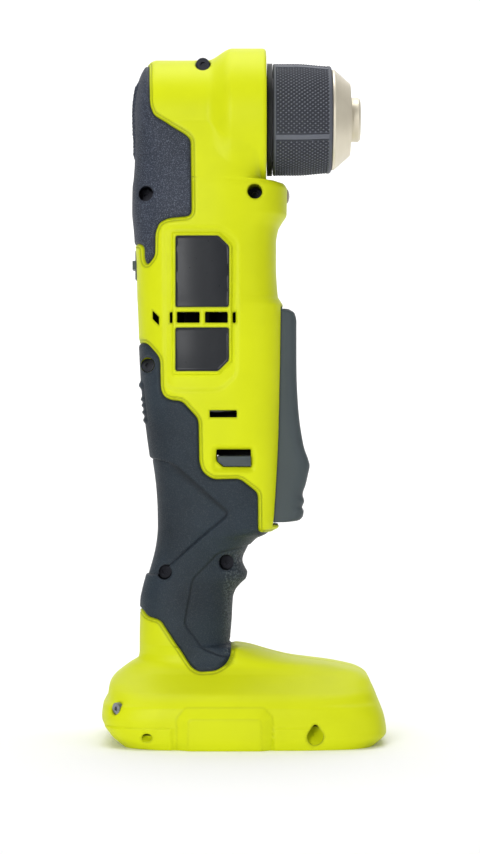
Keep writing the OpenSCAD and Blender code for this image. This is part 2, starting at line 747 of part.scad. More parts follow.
// Space for what stands inside, cut through ribs and bosses alike.
module inner_room() {
  translate([body_x, 0, back_plate_z]) cylinder(h = gearbox_top - back_plate_z, r = gearbox_r + seat_fit);
  translate([body_x, 0, stator_z]) cylinder(h = stator_l, r = stator_r + seat_fit);
  translate([body_x, 0, gearbox_top - eps])
    cylinder(h = axis_z - gearbox_top, r = neck_r + seat_fit);
  on_chuck_axis() rotate_extrude() polygon(case_outline(seat_fit));
  on_chuck_axis() cylinder(h = big, r = front_bearing_r - 1);
  translate([socket_x - socket_l / 2, -socket_w / 2, -eps]) cube([socket_l, socket_w, socket_h]);
}

module housing_half(side) {
  difference() {
    union() {
      difference() {
        union() {
          half_form();
          if (side == 0) side_panel();
        }
        hollow();
      }
      side_block();
      intersection() {
        half_form(wall / 2);
        inner_ribs();
      }
    }
    grip_layer() across() head_grip_outline();
    grip_layer() across() handle_grip_outline();
    inner_room();
    paddle_bay();
    selector_window();
    knob_window();
    vent_slots();
    lamp_hole();
    housing_screw_holes(side);
    foot_screw_hole();
    along_y(pivot_x, pivot_z, -body_half + 4, eps, pivot_r + seat_fit);
    if (side == 0) label_seat(1);
  }
}

module right_housing() { color(lime) housing_half(0); }
module left_housing() { color(lime) mirror([0, 1, 0]) housing_half(1); }

// The lamp below the chuck.
module lamp_lens() {
  color([0.85, 0.83, 0.78]) translate([lens_x, 0, lens_z]) rotate([0, 90, 0]) {
    translate([0, 0, -lens_l]) cylinder(h = lens_l, r = lens_r);
    translate([0, 0, -lens_l - flange_t]) cylinder(h = flange_t + eps, r = lens_r + 0.8);
    intersection() {
      translate([0, 0, 0.7 - 2 * lens_r]) sphere(r = 2 * lens_r);
      translate([0, 0, -eps]) cylinder(h = lens_r, r = lens_r);
    }
  }
}

module lamp_board() {
  color([0.10, 0.30, 0.18])
    translate([lens_x - lens_l - flange_t - lamp_board_t, -lamp_board_w / 2, lens_z + 4 - lamp_board_h])
      cube([lamp_board_t, lamp_board_w, lamp_board_h]);
}

// The battery's contacts and the control board in the foot.
board_t = 1.6;
module control_board() {
  color([0.10, 0.30, 0.18]) translate([board_x, 0, board_z]) {
    translate([-board_l / 2, -board_w / 2, 0]) cube([board_l, board_w, board_t]);
    for (k = [0:5])
      translate([board_l * (k / 6 - 0.46), 6 - board_w / 2, board_t - eps]) cube([5, 6, 2.4]);
    translate([-board_l / 4, board_w / 5, board_t - eps]) cylinder(h = 6, r = 4);
    translate([board_l / 8, board_w / 10, board_t - eps]) cube([9, 9, 1.4]);
  }
}

module terminal_block() {
  color(black) difference() {
    translate([socket_x - socket_l / 2 + 1.5, 1.5 - socket_w / 2, terminal_z])
      cube([socket_l - 3, socket_w - 3, terminal_h]);
    for (k = [-1:1])
      translate([socket_x - blade_w / 2, k * blade_pitch - blade_t / 2, terminal_z - eps])
        cube([blade_w, blade_t, blade_root + eps]);
  }
}

module terminal_blades() {
  color(brass) for (k = [-1:1])
    translate([socket_x - blade_w / 2, k * blade_pitch - blade_t / 2, terminal_z - blade_reach])
      cube([blade_w, blade_t, blade_reach + blade_root]);
}

// The switch and what works it.
plunger_head_t = 1.2;
plunger_in = 1.4;
plunger_root = 8;
paddle_touch = body_front - 3;
module trigger_switch() {
  color(black) difference() {
    union() {
      translate([switch_front - switch_l, -switch_w / 2, switch_z]) cube([switch_l, switch_w, switch_h]);
      translate([switch_front - switch_l + 4, -switch_w / 2 + 3, switch_z + switch_h - eps])
        cube([7, switch_w - 6, selector_z - selector_h / 2 - gap - switch_z - switch_h]);
    }
    translate([switch_front - plunger_root - 1, 0, plunger_z]) rotate([0, 90, 0])
      cylinder(h = plunger_root + 2, r = plunger_r + run_fit);
  }
}

module switch_plunger() {
  color(dark_steel) translate([0, 0, plunger_z]) rotate([0, 90, 0]) {
    translate([0, 0, switch_front - plunger_in])
      cylinder(h = paddle_touch - gap - switch_front + plunger_in, r = plunger_r);
    translate([0, 0, paddle_touch - gap - plunger_head_t]) cylinder(h = plunger_head_t, r = plunger_r + 1);
  }
}

// The paddle's front, from its foot up: height and how far it stands out from the body.
paddle_rows = [
  [0, paddle_peak - 8.1], [0.6, paddle_peak - 4.1], [2.6, paddle_peak - 2.5], [4.4, paddle_peak - 2.3],
  [5.6, paddle_peak - 2.9], [8.2, paddle_peak - 2.1], [10.4, paddle_peak - 2.7], [14.6, paddle_peak - 1.5],
  [19, paddle_peak - 0.5], [21.8, paddle_peak], [24, paddle_peak - 0.5], [28.6, paddle_peak - 2.1],
  [33.6, paddle_peak - 3.1], [39, paddle_peak - 3.9], [47, paddle_out + 0.5], [56, paddle_out + 0.1],
  [64, paddle_out], [paddle_l - 4.8, paddle_out], [paddle_l - 1.5, paddle_out - 0.8],
  [paddle_l, paddle_out - 3]
];
paddle_edge = 5;
paddle_back = body_front - 1.4;
function paddle_heights(inset) = concat([inset],
  [for (row = paddle_rows) if (row[0] > inset + gap && row[0] < paddle_l - inset - gap) row[0]],
  [paddle_l - inset]);
function paddle_section(z, inset, back) =
  let (
    x = body_front + lookup(z, paddle_rows) - inset,
    half = paddle_w / 2 - inset,
    edge = paddle_edge - inset,
    corner = [for (a = [90:-22.5:0]) [x - edge + edge * cos(a), half - edge + edge * sin(a)]]
  )
  concat([[back, -half, paddle_z + z]], [for (p = corner) [p[0], -p[1], paddle_z + z]],
    [for (k = [len(corner) - 1:-1:0]) [corner[k][0], corner[k][1], paddle_z + z]],
    [[back, half, paddle_z + z]]);
module paddle_form(inset, back) {
  skin([for (z = paddle_heights(inset)) paddle_section(z, inset, back)]);
}

module trigger_paddle() {
  half = paddle_w / 2;
  color(slate) difference() {
    union() {
      difference() {
        union() {
          paddle_form(0, paddle_back);
          along_y(pivot_x, pivot_z, -half, half, pivot_r + 2);
          along_y(pivot_x + 2, pivot_z, -half, half, pivot_r + 1.6);
        }
        paddle_form(paddle_wall, paddle_back - 8);
      }
      intersection() {
        paddle_form(paddle_wall / 2, paddle_touch);
        union() {
          translate([paddle_touch, -paddle_wall, plunger_z - 5]) cube([big, 2 * paddle_wall, 10]);
          translate([spring_end, 0, spring_z]) rotate([0, 90, 0]) cylinder(h = big, r = spring_r + 1);
        }
      }
    }
    along_y(pivot_x, pivot_z, -half - eps, half + eps, pivot_r + run_fit);
  }
}

pin_half = paddle_w / 2 + paddle_gap + 4;
module paddle_pin() {
  color(steel) along_y(pivot_x, pivot_z, -pin_half, pin_half, pivot_r);
}

// A coil from the housing's rib to the inside of the paddle.
spring_turns = 6;
spring_rings = 10;
spring_sides = 6;
spring_end = body_front + paddle_out - paddle_wall;
spring_pitch = (spring_end - spring_back - 2 * gap - 2 * spring_wire) / spring_turns;
function spring_ring(step) =
  let (turn = 360 * step / spring_rings, lean = atan(spring_pitch / (2 * PI * (spring_r - spring_wire))))
  [
    for (k = [0:spring_sides - 1])
      let (
        a = -360 * k / spring_sides,
        r = spring_r - spring_wire + spring_wire * cos(a),
        rise = spring_wire * sin(a)
      )
      [
        spring_back + gap + spring_wire + spring_pitch * step / spring_rings + rise * cos(lean),
        r * cos(turn) + rise * sin(lean) * sin(turn),
        spring_z + r * sin(turn) - rise * sin(lean) * cos(turn)
      ]
  ];
module paddle_spring() {
  color(steel) skin([for (step = [0:spring_turns * spring_rings]) spring_ring(step)]);
}

module direction_selector() {
  color(slate) across(2 * selector_half) translate([selector_x, selector_z]) polygon([
    [-selector_l / 2 + 2.6, -selector_h / 2], [selector_l / 2, -selector_h / 2],
    [selector_l / 2, selector_h / 2], [-selector_l / 2, selector_h / 2],
    [-selector_l / 2, 0]
  ]);
}

// The speed selector: a knob in the back wall, its arm and the pin that moves the shift ring.
knob_face = body_back - 0.5;
knob_root = body_back + wall + 2 * gap;
ridge_out = 1.1;
ridge_h = 3.4;
arm_t = 2;
arm_w = 6;
fork_pin_r = 1.3;
groove_depth = 1.4;
module speed_selector() {
  color(slate) {
    translate([knob_face, -knob_w / 2, knob_z]) cube([knob_root - knob_face + 1, knob_w, knob_h]);
    translate([knob_face - ridge_out, -knob_w / 2, knob_z + knob_h / 2 - ridge_h / 2])
      cube([ridge_out + 1, knob_w, ridge_h]);
    translate([knob_root, -knob_w / 2 - 1.6, knob_z]) cube([arm_t, knob_w + 3.2, knob_h]);
    translate([knob_root, -arm_w / 2, knob_z]) cube([arm_t, arm_w, fork_z + 2 - knob_z]);
    translate([knob_root, 0, fork_z]) rotate([0, 90, 0])
      cylinder(h = body_x - ring_r + groove_depth - gap - knob_root, r = fork_pin_r);
  }
}

// A ball bearing whose lower face stands at Z = 0.
module bearing(outer, inner, width, balls) {
  middle = (outer + inner) / 2;
  ball = (outer - inner) / 4;
  race = ball * 0.62;
  color(steel) {
    rotate_extrude() difference() {
      translate([inner, 0]) square([middle - race - inner, width]);
      translate([middle, width / 2]) circle(r = ball);
    }
    rotate_extrude() difference() {
      translate([middle + race, 0]) square([outer - middle - race, width]);
      translate([middle, width / 2]) circle(r = ball);
    }
    for (k = [0:balls - 1])
      rotate([0, 0, 360 * k / balls]) translate([middle, 0, width / 2]) sphere(r = ball - run_fit);
  }
}

// The motor, from its lower plate up to its fan.
module on_motor_axis(z) { translate([body_x, 0, z]) children(); }

bearing_lip = 1;
lower_bearing_z = end_plate_z + bearing_lip;
upper_bearing_z = back_plate_z;
module motor_end_plate() {
  color(aluminium) on_motor_axis(end_plate_z) difference() {
    cylinder(h = plate_t, r = stator_r);
    translate([0, 0, bearing_lip]) cylinder(h = plate_t, r = motor_bearing_r + run_fit);
    translate([0, 0, -eps]) cylinder(h = plate_t, r = motor_bearing_r - 1.4);
    for (k = [0:5]) rotate([0, 0, 60 * k]) translate([(stator_r + motor_bearing_r) / 2, 0, -eps])
      cylinder(h = plate_t + 2 * eps, r = (stator_r - motor_bearing_r) / 4);
  }
}

module motor_bearings() {
  on_motor_axis(lower_bearing_z) bearing(motor_bearing_r, shaft_r + run_fit, motor_bearing_w, 7);
  on_motor_axis(upper_bearing_z) bearing(motor_bearing_r, shaft_r + run_fit, motor_bearing_w, 7);
}

teeth = 6;
tooth_w = 5.4;
yoke = 3.4;
shoe_t = 1.4;
module stator_core() {
  bore = rotor_r + air_gap;
  color(dark_steel) on_motor_axis(stator_z) difference() {
    union() {
      difference() {
        cylinder(h = stator_l, r = stator_r);
        translate([0, 0, -eps]) cylinder(h = stator_l + 2 * eps, r = stator_r - yoke);
      }
      for (k = [0:teeth - 1]) rotate([0, 0, 360 * k / teeth])
        translate([bore - 1, -tooth_w / 2, 0]) cube([stator_r - yoke / 2 - bore + 1, tooth_w, stator_l]);
    }
    translate([0, 0, -eps]) cylinder(h = stator_l + 2 * eps, r = bore);
  }
}

module stator_coils() {
  inner = rotor_r + air_gap + shoe_t;
  outer = stator_r - yoke - 1.2;
  color(copper) on_motor_axis(stator_z) for (k = [0:teeth - 1]) rotate([0, 0, 360 * k / teeth])
    difference() {
      translate([inner, -tooth_w / 2 - 1.4, -coil_t])
        cube([outer - inner, tooth_w + 2.8, stator_l + 2 * coil_t]);
      translate([inner - 1, -tooth_w / 2 - seat_fit, -seat_fit])
        cube([outer - inner + 2, tooth_w + 2 * seat_fit, stator_l + 2 * seat_fit]);
    }
}

module rotor_core() {
  color(dark_steel) on_motor_axis(stator_z) difference() {
    cylinder(h = stator_l, r = rotor_r);
    translate([0, 0, -eps]) cylinder(h = stator_l + 2 * eps, r = shaft_r + run_fit);
  }
}

module motor_shaft() {
  color(steel) on_motor_axis(lower_bearing_z)
    cylinder(h = first_gear_z + gear_w - lower_bearing_z, r = shaft_r);
}

fan_hub_r = 5;
blade_thick = 1;
module cooling_fan() {
  color(slate) on_motor_axis(fan_z) difference() {
    union() {
      cylinder(h = fan_h, r = fan_hub_r);
      cylinder(h = 1.2, r = fan_r);
      for (k = [0:fan_blades - 1]) rotate([0, 0, 360 * k / fan_blades])
        translate([fan_hub_r - 1, 0, 0]) rotate([0, 0, 14])
          translate([0, -blade_thick / 2, 0]) cube([fan_r - fan_hub_r, blade_thick, fan_h]);
    }
    translate([0, 0, -eps]) cylinder(h = fan_h + 2 * eps, r = shaft_r + run_fit);
  }
}

// Gear teeth: the involute of an angle, then the outline of one tooth after another.
pressure = 20;
function involute(a) = tan(a) * 180 / PI - a;
function half_tooth(r, pitch_r, half_pitch) =
  half_pitch + involute(pressure) - involute(acos(min(1, pitch_r * cos(pressure) / r)));
function tooth_radii(pitch_r, low, high) =
  let (first = max(low, pitch_r * cos(pressure)))
  [for (k = [0:3]) first + (high - first) * k / 3];
function tooth_profile(pitch_r, half_pitch, low, high) =
  let (radii = tooth_radii(pitch_r, low, high))
  concat([[low, half_tooth(radii[0], pitch_r, half_pitch)]],
    [for (r = radii) if (r > low + eps) [r, half_tooth(r, pitch_r, half_pitch)]]);
function wheel_points(count, profile, start) = [
  for (k = [0:count - 1])
    let (middle = start + 360 * k / count, last = len(profile) - 1)
    each concat(
      [for (p = profile) [p[0], middle - p[1]]],
      [for (i = [last:-1:0]) [profile[i][0], middle + profile[i][1]]]
    )
];
function polar(p) = [p[0] * cos(p[1]), p[0] * sin(p[1])];

backlash = 0.1;
function slack(pitch_r) = backlash / 2 / pitch_r * 180 / PI;
module wheel(count, start) {
  pitch_r = count * gear_m / 2;
  profile = tooth_profile(pitch_r, 90 / count - slack(pitch_r), pitch_r - dedendum * gear_m,
    pitch_r + addendum * gear_m);
  polygon([for (p = wheel_points(count, profile, start)) polar(p)]);
}

module ring_wheel() {
  pitch_r = ring_teeth * gear_m / 2;
  profile = tooth_profile(pitch_r, 90 / ring_teeth + slack(pitch_r), pitch_r - addendum * gear_m,
    pitch_r + dedendum * gear_m);
  difference() {
    circle(r = ring_r);
    polygon([for (p = wheel_points(ring_teeth, profile, 0)) polar(p)]);
  }
}

planet_reach = (sun_teeth + planet_teeth) * gear_m / 2;
module planet(z, k) {
  color(steel) on_motor_axis(z) rotate([0, 0, 120 * k]) translate([planet_reach, 0, 0]) difference() {
    linear_extrude(gear_w) wheel(planet_teeth, 0);
    translate([0, 0, -eps]) cylinder(h = gear_w + 2 * eps, r = planet_pin_r + run_fit);
  }
}

module planet_pins(z, h) {
  for (k = [0:2]) rotate([0, 0, 120 * k]) translate([planet_reach, 0, z]) cylinder(h = h, r = planet_pin_r);
}

module gearbox_back_plate() {
  color(aluminium) on_motor_axis(back_plate_z) difference() {
    cylinder(h = plate_t, r = gearbox_r);
    translate([0, 0, -eps]) cylinder(h = motor_bearing_w + eps, r = motor_bearing_r + run_fit);
    translate([0, 0, -eps]) cylinder(h = plate_t + 2 * eps, r = motor_bearing_r - 1.4);
  }
}

case_top_t = 2.4;
module gearbox_case() {
  tube_z = back_plate_z + plate_t;
  color(aluminium) difference() {
    on_motor_axis(tube_z) difference() {
      cylinder(h = gearbox_top - tube_z, r = gearbox_r);
      translate([0, 0, -eps])
        cylinder(h = gearbox_top - tube_z - case_top_t + eps, r = ring_r + run_fit);
      cylinder(h = big, r = output_r + 2);
    }
    translate([body_x - big, -fork_pin_r - gap, fork_z - shift_travel - fork_pin_r - gap])
      cube([big, 2 * fork_pin_r + 2 * gap, shift_travel + 2 * fork_pin_r + 2 * gap]);
  }
}

module fixed_ring_gear() {
  color(dark_steel) on_motor_axis(back_plate_z + plate_t)
    linear_extrude(first_carrier_z - back_plate_z - plate_t) ring_wheel();
}

module shift_ring() {
  color(dark_steel) on_motor_axis(second_gear_z) difference() {
    linear_extrude(gear_w) ring_wheel();
    translate([0, 0, fork_z - second_gear_z - fork_pin_r - gap]) difference() {
      cylinder(h = 2 * fork_pin_r + 2 * gap, r = ring_r + 1);
      translate([0, 0, -eps]) cylinder(h = 2 * fork_pin_r + 2 * gap + 2 * eps, r = ring_r - groove_depth);
    }
  }
}

module sun_pinion() {
  color(steel) on_motor_axis(first_gear_z) difference() {
    linear_extrude(gear_w) wheel(sun_teeth, 0);
    translate([0, 0, -eps]) cylinder(h = gear_w + 2 * eps, r = shaft_r + run_fit);
  }
}

module first_planet_a() { planet(first_gear_z, 0); }
module first_planet_b() { planet(first_gear_z, 1); }
module first_planet_c() { planet(first_gear_z, 2); }
module second_planet_a() { planet(second_gear_z, 0); }
module second_planet_b() { planet(second_gear_z, 1); }
module second_planet_c() { planet(second_gear_z, 2); }

carrier_gap = 1.1;
carrier_r = (ring_teeth / 2 - addendum) * gear_m - carrier_gap;
module first_carrier() {
  color(dark_steel) on_motor_axis(0) {
    translate([0, 0, first_carrier_z]) cylinder(h = carrier_t, r = carrier_r);
    planet_pins(first_gear_z, gear_w + gap + eps);
    translate([0, 0, first_carrier_z + carrier_t - eps])
      linear_extrude(second_gear_z + gear_w - first_carrier_z - carrier_t) wheel(sun_teeth, 0);
  }
}

pinion_top_z = axis_z - (cone_l - bevel_face) * cos(pinion_cone);
module second_carrier() {
  color(dark_steel) on_motor_axis(0) {
    translate([0, 0, second_carrier_z]) cylinder(h = carrier_t, r = carrier_r);
    planet_pins(second_gear_z, gear_w + gap + eps);
    translate([0, 0, second_carrier_z]) cylinder(h = pinion_top_z - second_carrier_z, r = output_r);
  }
}

// Bevel wheels: the same teeth on the back cone, drawn in towards the point where the axes meet.
bevel_addendum = 0.75;
bevel_dedendum = 1.15;
bevel_backlash = 0.16;
function bevel_ring(count, cone, start, scale_to) =
  let (
    pitch_r = count * bevel_m / 2,
    round_r = pitch_r / cos(cone),
    half_pitch = 90 * cos(cone) / count - bevel_backlash / 2 / round_r * 180 / PI,
    profile = [
      for (p = tooth_profile(round_r, half_pitch, round_r - bevel_dedendum * bevel_m,
        round_r + bevel_addendum * bevel_m)) [p[0], p[1] / cos(cone)]
    ]
  )
  [
    for (p = wheel_points(count, profile, start))
      let (flat = polar([p[0] * cos(cone), p[1]]))
      scale_to * [flat[0], flat[1], (p[0] - round_r) * sin(cone) - cone_l * cos(cone)]
  ];

// A bevel wheel below the origin, with its point at the origin.
module bevel_wheel(count, cone, start) {
  outer = bevel_ring(count, cone, start, 1);
  inner = bevel_ring(count, cone, start, 1 - bevel_face / cone_l);
  size = len(outer);
  sides = [
    for (j = [0:size - 1])
      let (b = (j + 1) % size)
      each [[j, j + size, b + size], [j, b + size, b], [2 * size, j, b], [2 * size + 1, b + size, j + size]]
  ];
  polyhedron(points = concat(outer, inner, [[0, 0, outer[0][2]], [0, 0, inner[0][2]]]), faces = sides);
}

hub_r = 6.6;
module bevel_pinion() {
  color(steel) translate([body_x, 0, axis_z]) difference() {
    union() {
      bevel_wheel(pinion_teeth, pinion_cone, 180);
      translate([0, 0, pinion_back_z - axis_z]) cylinder(h = 3.4, r = hub_r);
    }
    translate([0, 0, -big / 2]) cylinder(h = big, r = output_r + run_fit);
  }
}

back_bearing_x = case_back + 2;
front_bearing_x = case_front - 1.5 - front_bearing_w;
bevel_hub_r = 9.4;
module bevel_gear() {
  hub_back = back_bearing_x + back_bearing_w + gap;
  color(steel) difference() {
    union() {
      translate([body_x, 0, axis_z]) rotate([0, 90, 0])
        bevel_wheel(bevel_teeth, 90 - pinion_cone, 180 / bevel_teeth);
      on_chuck_axis() translate([0, 0, hub_back])
        cylinder(h = body_x - pinion_pitch_r - hub_back, r = bevel_hub_r);
    }
    on_chuck_axis() translate([0, 0, -big / 2]) cylinder(h = big, r = spindle_r + run_fit);
  }
}

chuck_x = collar_x + 0.4;
sleeve_x = chuck_x + back_ring_t + gap;
nose_x = sleeve_x + sleeve_l + gap;
nose_front = nose_x + nose_l + nose_ring_l;
thread_l = 12;
screw_core_r = 2.5;
chuck_screw_r = 3.2;
chuck_head_x = chuck_x + thread_l + 2;
chuck_head_h = 2.4;
head_room = chuck_head_h + 0.4;
module spindle() {
  hub_back = back_bearing_x + back_bearing_w + gap;
  color(steel) on_chuck_axis() difference() {
    union() {
      translate([0, 0, back_bearing_x]) cylinder(h = hub_back - back_bearing_x + eps, r = journal_r);
      translate([0, 0, hub_back]) cylinder(h = chuck_x - hub_back, r = spindle_r);
      translate([0, 0, chuck_x - eps]) cylinder(h = thread_l, r = thread_r);
    }
    translate([0, 0, chuck_x + thread_l - 9]) cylinder(h = 9 + eps, r = screw_core_r + run_fit);
  }
}

module front_spindle_bearing() {
  on_chuck_axis() translate([0, 0, front_bearing_x])
    bearing(front_bearing_r, spindle_r + run_fit, front_bearing_w, 8);
}

module back_spindle_bearing() {
  on_chuck_axis() translate([0, 0, back_bearing_x])
    bearing(back_bearing_r, journal_r + run_fit, back_bearing_w, 7);
}

clip_t = 1.2;
module bearing_clip() {
  color(dark_steel) on_chuck_axis() translate([0, 0, front_bearing_x + front_bearing_w]) difference() {
    cylinder(h = clip_t, r = front_bearing_r);
    translate([0, 0, -eps]) cylinder(h = clip_t + 2 * eps, r = front_bearing_r - 2.2);
    translate([0, -2, -eps]) cube([big, 4, clip_t + 2 * eps]);
  }
}

module pinion_bearing() {
  on_motor_axis(pinion_bearing_z) bearing(pinion_bearing_r, output_r + run_fit, pinion_bearing_w, 7);
}

pinion_room = pinion_pitch_r + bevel_addendum * bevel_m + 1;
module gear_case() {
  inside = case_r - case_wall;
  color(aluminium) difference() {
    union() {
      on_chuck_axis() rotate_extrude() polygon(case_outline(0));
      on_motor_axis(gearbox_top) cylinder(h = axis_z - gearbox_top, r = neck_r);
    }
    on_chuck_axis() {
      translate([0, 0, back_bearing_x + back_bearing_w])
        cylinder(h = front_bearing_x - back_bearing_x - back_bearing_w - 1, r = inside);
      translate([0, 0, back_bearing_x]) cylinder(h = back_bearing_w + eps, r = back_bearing_r + run_fit);
      translate([0, 0, front_bearing_x]) cylinder(h = big, r = front_bearing_r + run_fit);
      translate([0, 0, front_bearing_x - 1 - eps])
        cylinder(h = 2, r = front_bearing_r - 2);
    }
    on_motor_axis(pinion_bearing_z)
      cylinder(h = pinion_bearing_w + eps, r = pinion_bearing_r + run_fit);
    on_motor_axis(pinion_bearing_top) cylinder(h = axis_z - pinion_bearing_top, r = pinion_room);
    on_motor_axis(gearbox_top - eps)
      cylinder(h = pinion_bearing_z - gearbox_top + 2 * eps, r = pinion_bearing_r - 1.5);
  }
}

// The chuck, drawn along Z and turned onto its axis.
jaw_tip = nose_front + 0.4;
jaw_gap = 0.5;
module along_jaw(k, from, to, r) {
  rotate([0, 0, 120 * k]) translate([0, 0, jaw_tip]) rotate([0, 180 - jaw_slope, 0])
    translate([0, 0, from]) cylinder(h = to - from, r = r);
}

module jaw_bores() {
  for (k = [0:2]) along_jaw(k, -1, jaw_l + jaw_travel + gap, jaw_r + run_fit);
}

// How far the outer edge of a jaw lies from the axis at a place along it.
function jaw_edge(x) = (jaw_tip - x) * tan(jaw_slope) + jaw_r / cos(jaw_slope);

nut_x = sleeve_x + 6.4;
nut_l = 7;
nut_fit = 0.15;
thread_depth = 0.6;
module chuck_body() {
  color(steel) on_chuck_axis() difference() {
    translate([0, 0, chuck_x]) cylinder(h = nose_x - chuck_x, r = core_r);
    rotate_extrude() polygon([
      [jaw_edge(nut_x - gap) - thread_depth, nut_x - gap],
      [core_r + 1, nut_x - gap],
      [core_r + 1, nut_x + nut_l + gap],
      [jaw_edge(nut_x + nut_l + gap) - thread_depth, nut_x + nut_l + gap]
    ]);
    translate([0, 0, chuck_x - eps]) cylinder(h = thread_l + 0.6, r = thread_r + run_fit);
    translate([0, 0, chuck_x]) cylinder(h = big, r = screw_core_r + run_fit);
    translate([0, 0, chuck_head_x]) cylinder(h = head_room + eps, r = chuck_screw_r + gap);
    translate([0, 0, chuck_head_x + head_room]) cylinder(h = big, r = bit_r);
    jaw_bores();
  }
}

module chuck_back_ring() {
  color(black) on_chuck_axis() translate([0, 0, chuck_x]) difference() {
    cylinder(h = back_ring_t, r = sleeve_r);
    translate([0, 0, -eps]) cylinder(h = back_ring_t + 2 * eps, r = core_r);
  }
}

sleeve_edge = 1.2;
module chuck_sleeve() {
  inside = sleeve_r - sleeve_wall;
  lip = sleeve_front_r - sleeve_edge;
  color(slate) on_chuck_axis() translate([0, 0, sleeve_x]) rotate_extrude() polygon(concat(
    [[inside, 0], [sleeve_r - 0.5, 0], [sleeve_r, 0.5]],
    [for (a = [0:30:90]) [lip + sleeve_edge * cos(a), sleeve_l - sleeve_edge * (1 - sin(a))]],
    [[inside, sleeve_l]]
  ));
}

module chuck_nut() {
  color(dark_steel) on_chuck_axis() rotate_extrude() polygon([
    [jaw_edge(nut_x) + nut_fit, nut_x], [sleeve_r - sleeve_wall, nut_x],
    [sleeve_r - sleeve_wall, nut_x + nut_l], [jaw_edge(nut_x + nut_l) + nut_fit, nut_x + nut_l]
  ]);
}

module chuck_nose() {
  color(steel) on_chuck_axis() difference() {
    rotate_extrude() polygon([
      [bit_r, nose_x], [nose_r, nose_x], [nose_r, nose_x + 0.8],
      [nose_face_r + 1, nose_x + nose_l - 1.2], [nose_face_r, nose_x + nose_l],
      [nose_ring_r + 0.6, nose_x + nose_l], [nose_ring_r, nose_x + nose_l + 0.6],
      [nose_ring_r, nose_front - 0.8], [nose_ring_r - 0.8, nose_front], [bit_r, nose_front]
    ]);
    jaw_bores();
  }
}

module chuck_screw() {
  color(dark_steel) on_chuck_axis() difference() {
    union() {
      translate([0, 0, chuck_x + thread_l - 8.6]) cylinder(h = 10.6, r = screw_core_r);
      translate([0, 0, chuck_head_x]) cylinder(h = chuck_head_h, r = chuck_screw_r);
    }
    translate([0, 0, chuck_head_x + chuck_head_h - 1]) cylinder(h = 2, r = 1.6, $fn = 6);
  }
}

// A jaw drawn shut, then drawn back along its bore to the open chuck's place.
module chuck_jaw(k) {
  far = core_r + 8;
  spread = tan(58) * (far - jaw_gap);
  color(steel) on_chuck_axis() rotate([0, 0, 120 * k])
    translate([sin(jaw_slope) * jaw_travel, 0, -cos(jaw_slope) * jaw_travel]) intersection() {
      along_jaw(0, -3, jaw_l, jaw_r);
      translate([0, 0, jaw_tip - 2 * jaw_l]) linear_extrude(2 * jaw_l)
        polygon([[jaw_gap, 0], [far, spread], [far, -spread]]);
    }
}

module chuck_jaw_a() { chuck_jaw(0); }
module chuck_jaw_b() { chuck_jaw(1); }
module chuck_jaw_c() { chuck_jaw(2); }

right_housing();
left_housing();
right_head_grip();
left_head_grip();
right_handle_grip();
left_handle_grip();
label_plates();
housing_screws();
foot_screws();
lamp_lens();
lamp_board();
control_board();
terminal_block();
terminal_blades();
trigger_switch();
switch_plunger();
trigger_paddle();
paddle_pin();
paddle_spring();
direction_selector();
speed_selector();
motor_end_plate();
motor_bearings();
stator_core();
stator_coils();
rotor_core();
motor_shaft();
cooling_fan();
gearbox_back_plate();
gearbox_case();
fixed_ring_gear();
sun_pinion();
first_planet_a();
first_planet_b();
first_planet_c();
first_carrier();
second_planet_a();
second_planet_b();
second_planet_c();
second_carrier();
shift_ring();
gear_case();
pinion_bearing();
bevel_pinion();
bevel_gear();
spindle();
front_spindle_bearing();
back_spindle_bearing();
bearing_clip();
chuck_body();
chuck_back_ring();
chuck_sleeve();
chuck_nut();
chuck_nose();
chuck_screw();
chuck_jaw_a();
chuck_jaw_b();
chuck_jaw_c();
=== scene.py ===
# %% [markdown]
# # A right angle drill, dressed for the studio
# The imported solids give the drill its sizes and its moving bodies. This lesson covers them with
# finer surfaces, worked out with numpy, and gives every piece a finish made of shader nodes.
# Lengths are in millimetres until a mesh is made, because the drill's drawing uses them.

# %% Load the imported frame
import math
import bpy
import numpy as np
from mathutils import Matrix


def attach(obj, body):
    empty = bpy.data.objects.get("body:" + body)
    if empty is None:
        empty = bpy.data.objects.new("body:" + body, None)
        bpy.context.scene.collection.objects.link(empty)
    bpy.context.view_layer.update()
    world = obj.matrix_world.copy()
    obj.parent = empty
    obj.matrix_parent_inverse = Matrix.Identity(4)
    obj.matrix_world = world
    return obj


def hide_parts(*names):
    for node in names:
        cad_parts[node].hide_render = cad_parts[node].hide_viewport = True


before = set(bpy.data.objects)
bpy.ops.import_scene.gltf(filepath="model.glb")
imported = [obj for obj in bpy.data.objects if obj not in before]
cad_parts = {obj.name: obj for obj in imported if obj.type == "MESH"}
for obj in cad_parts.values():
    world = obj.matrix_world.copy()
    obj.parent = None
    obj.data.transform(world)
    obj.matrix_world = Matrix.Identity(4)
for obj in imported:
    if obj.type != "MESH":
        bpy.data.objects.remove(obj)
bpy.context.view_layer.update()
scene = bpy.context.scene
MM = 0.001

# %% [markdown]
# ## Putting arrays into Blender
# A mesh is only points and lists of point numbers. Filling it with whole arrays is fast, and one
# helper can do it for every piece, let it ride on its body and hide the solid it stands for.

# %% Mesh helpers
join = np.concatenate


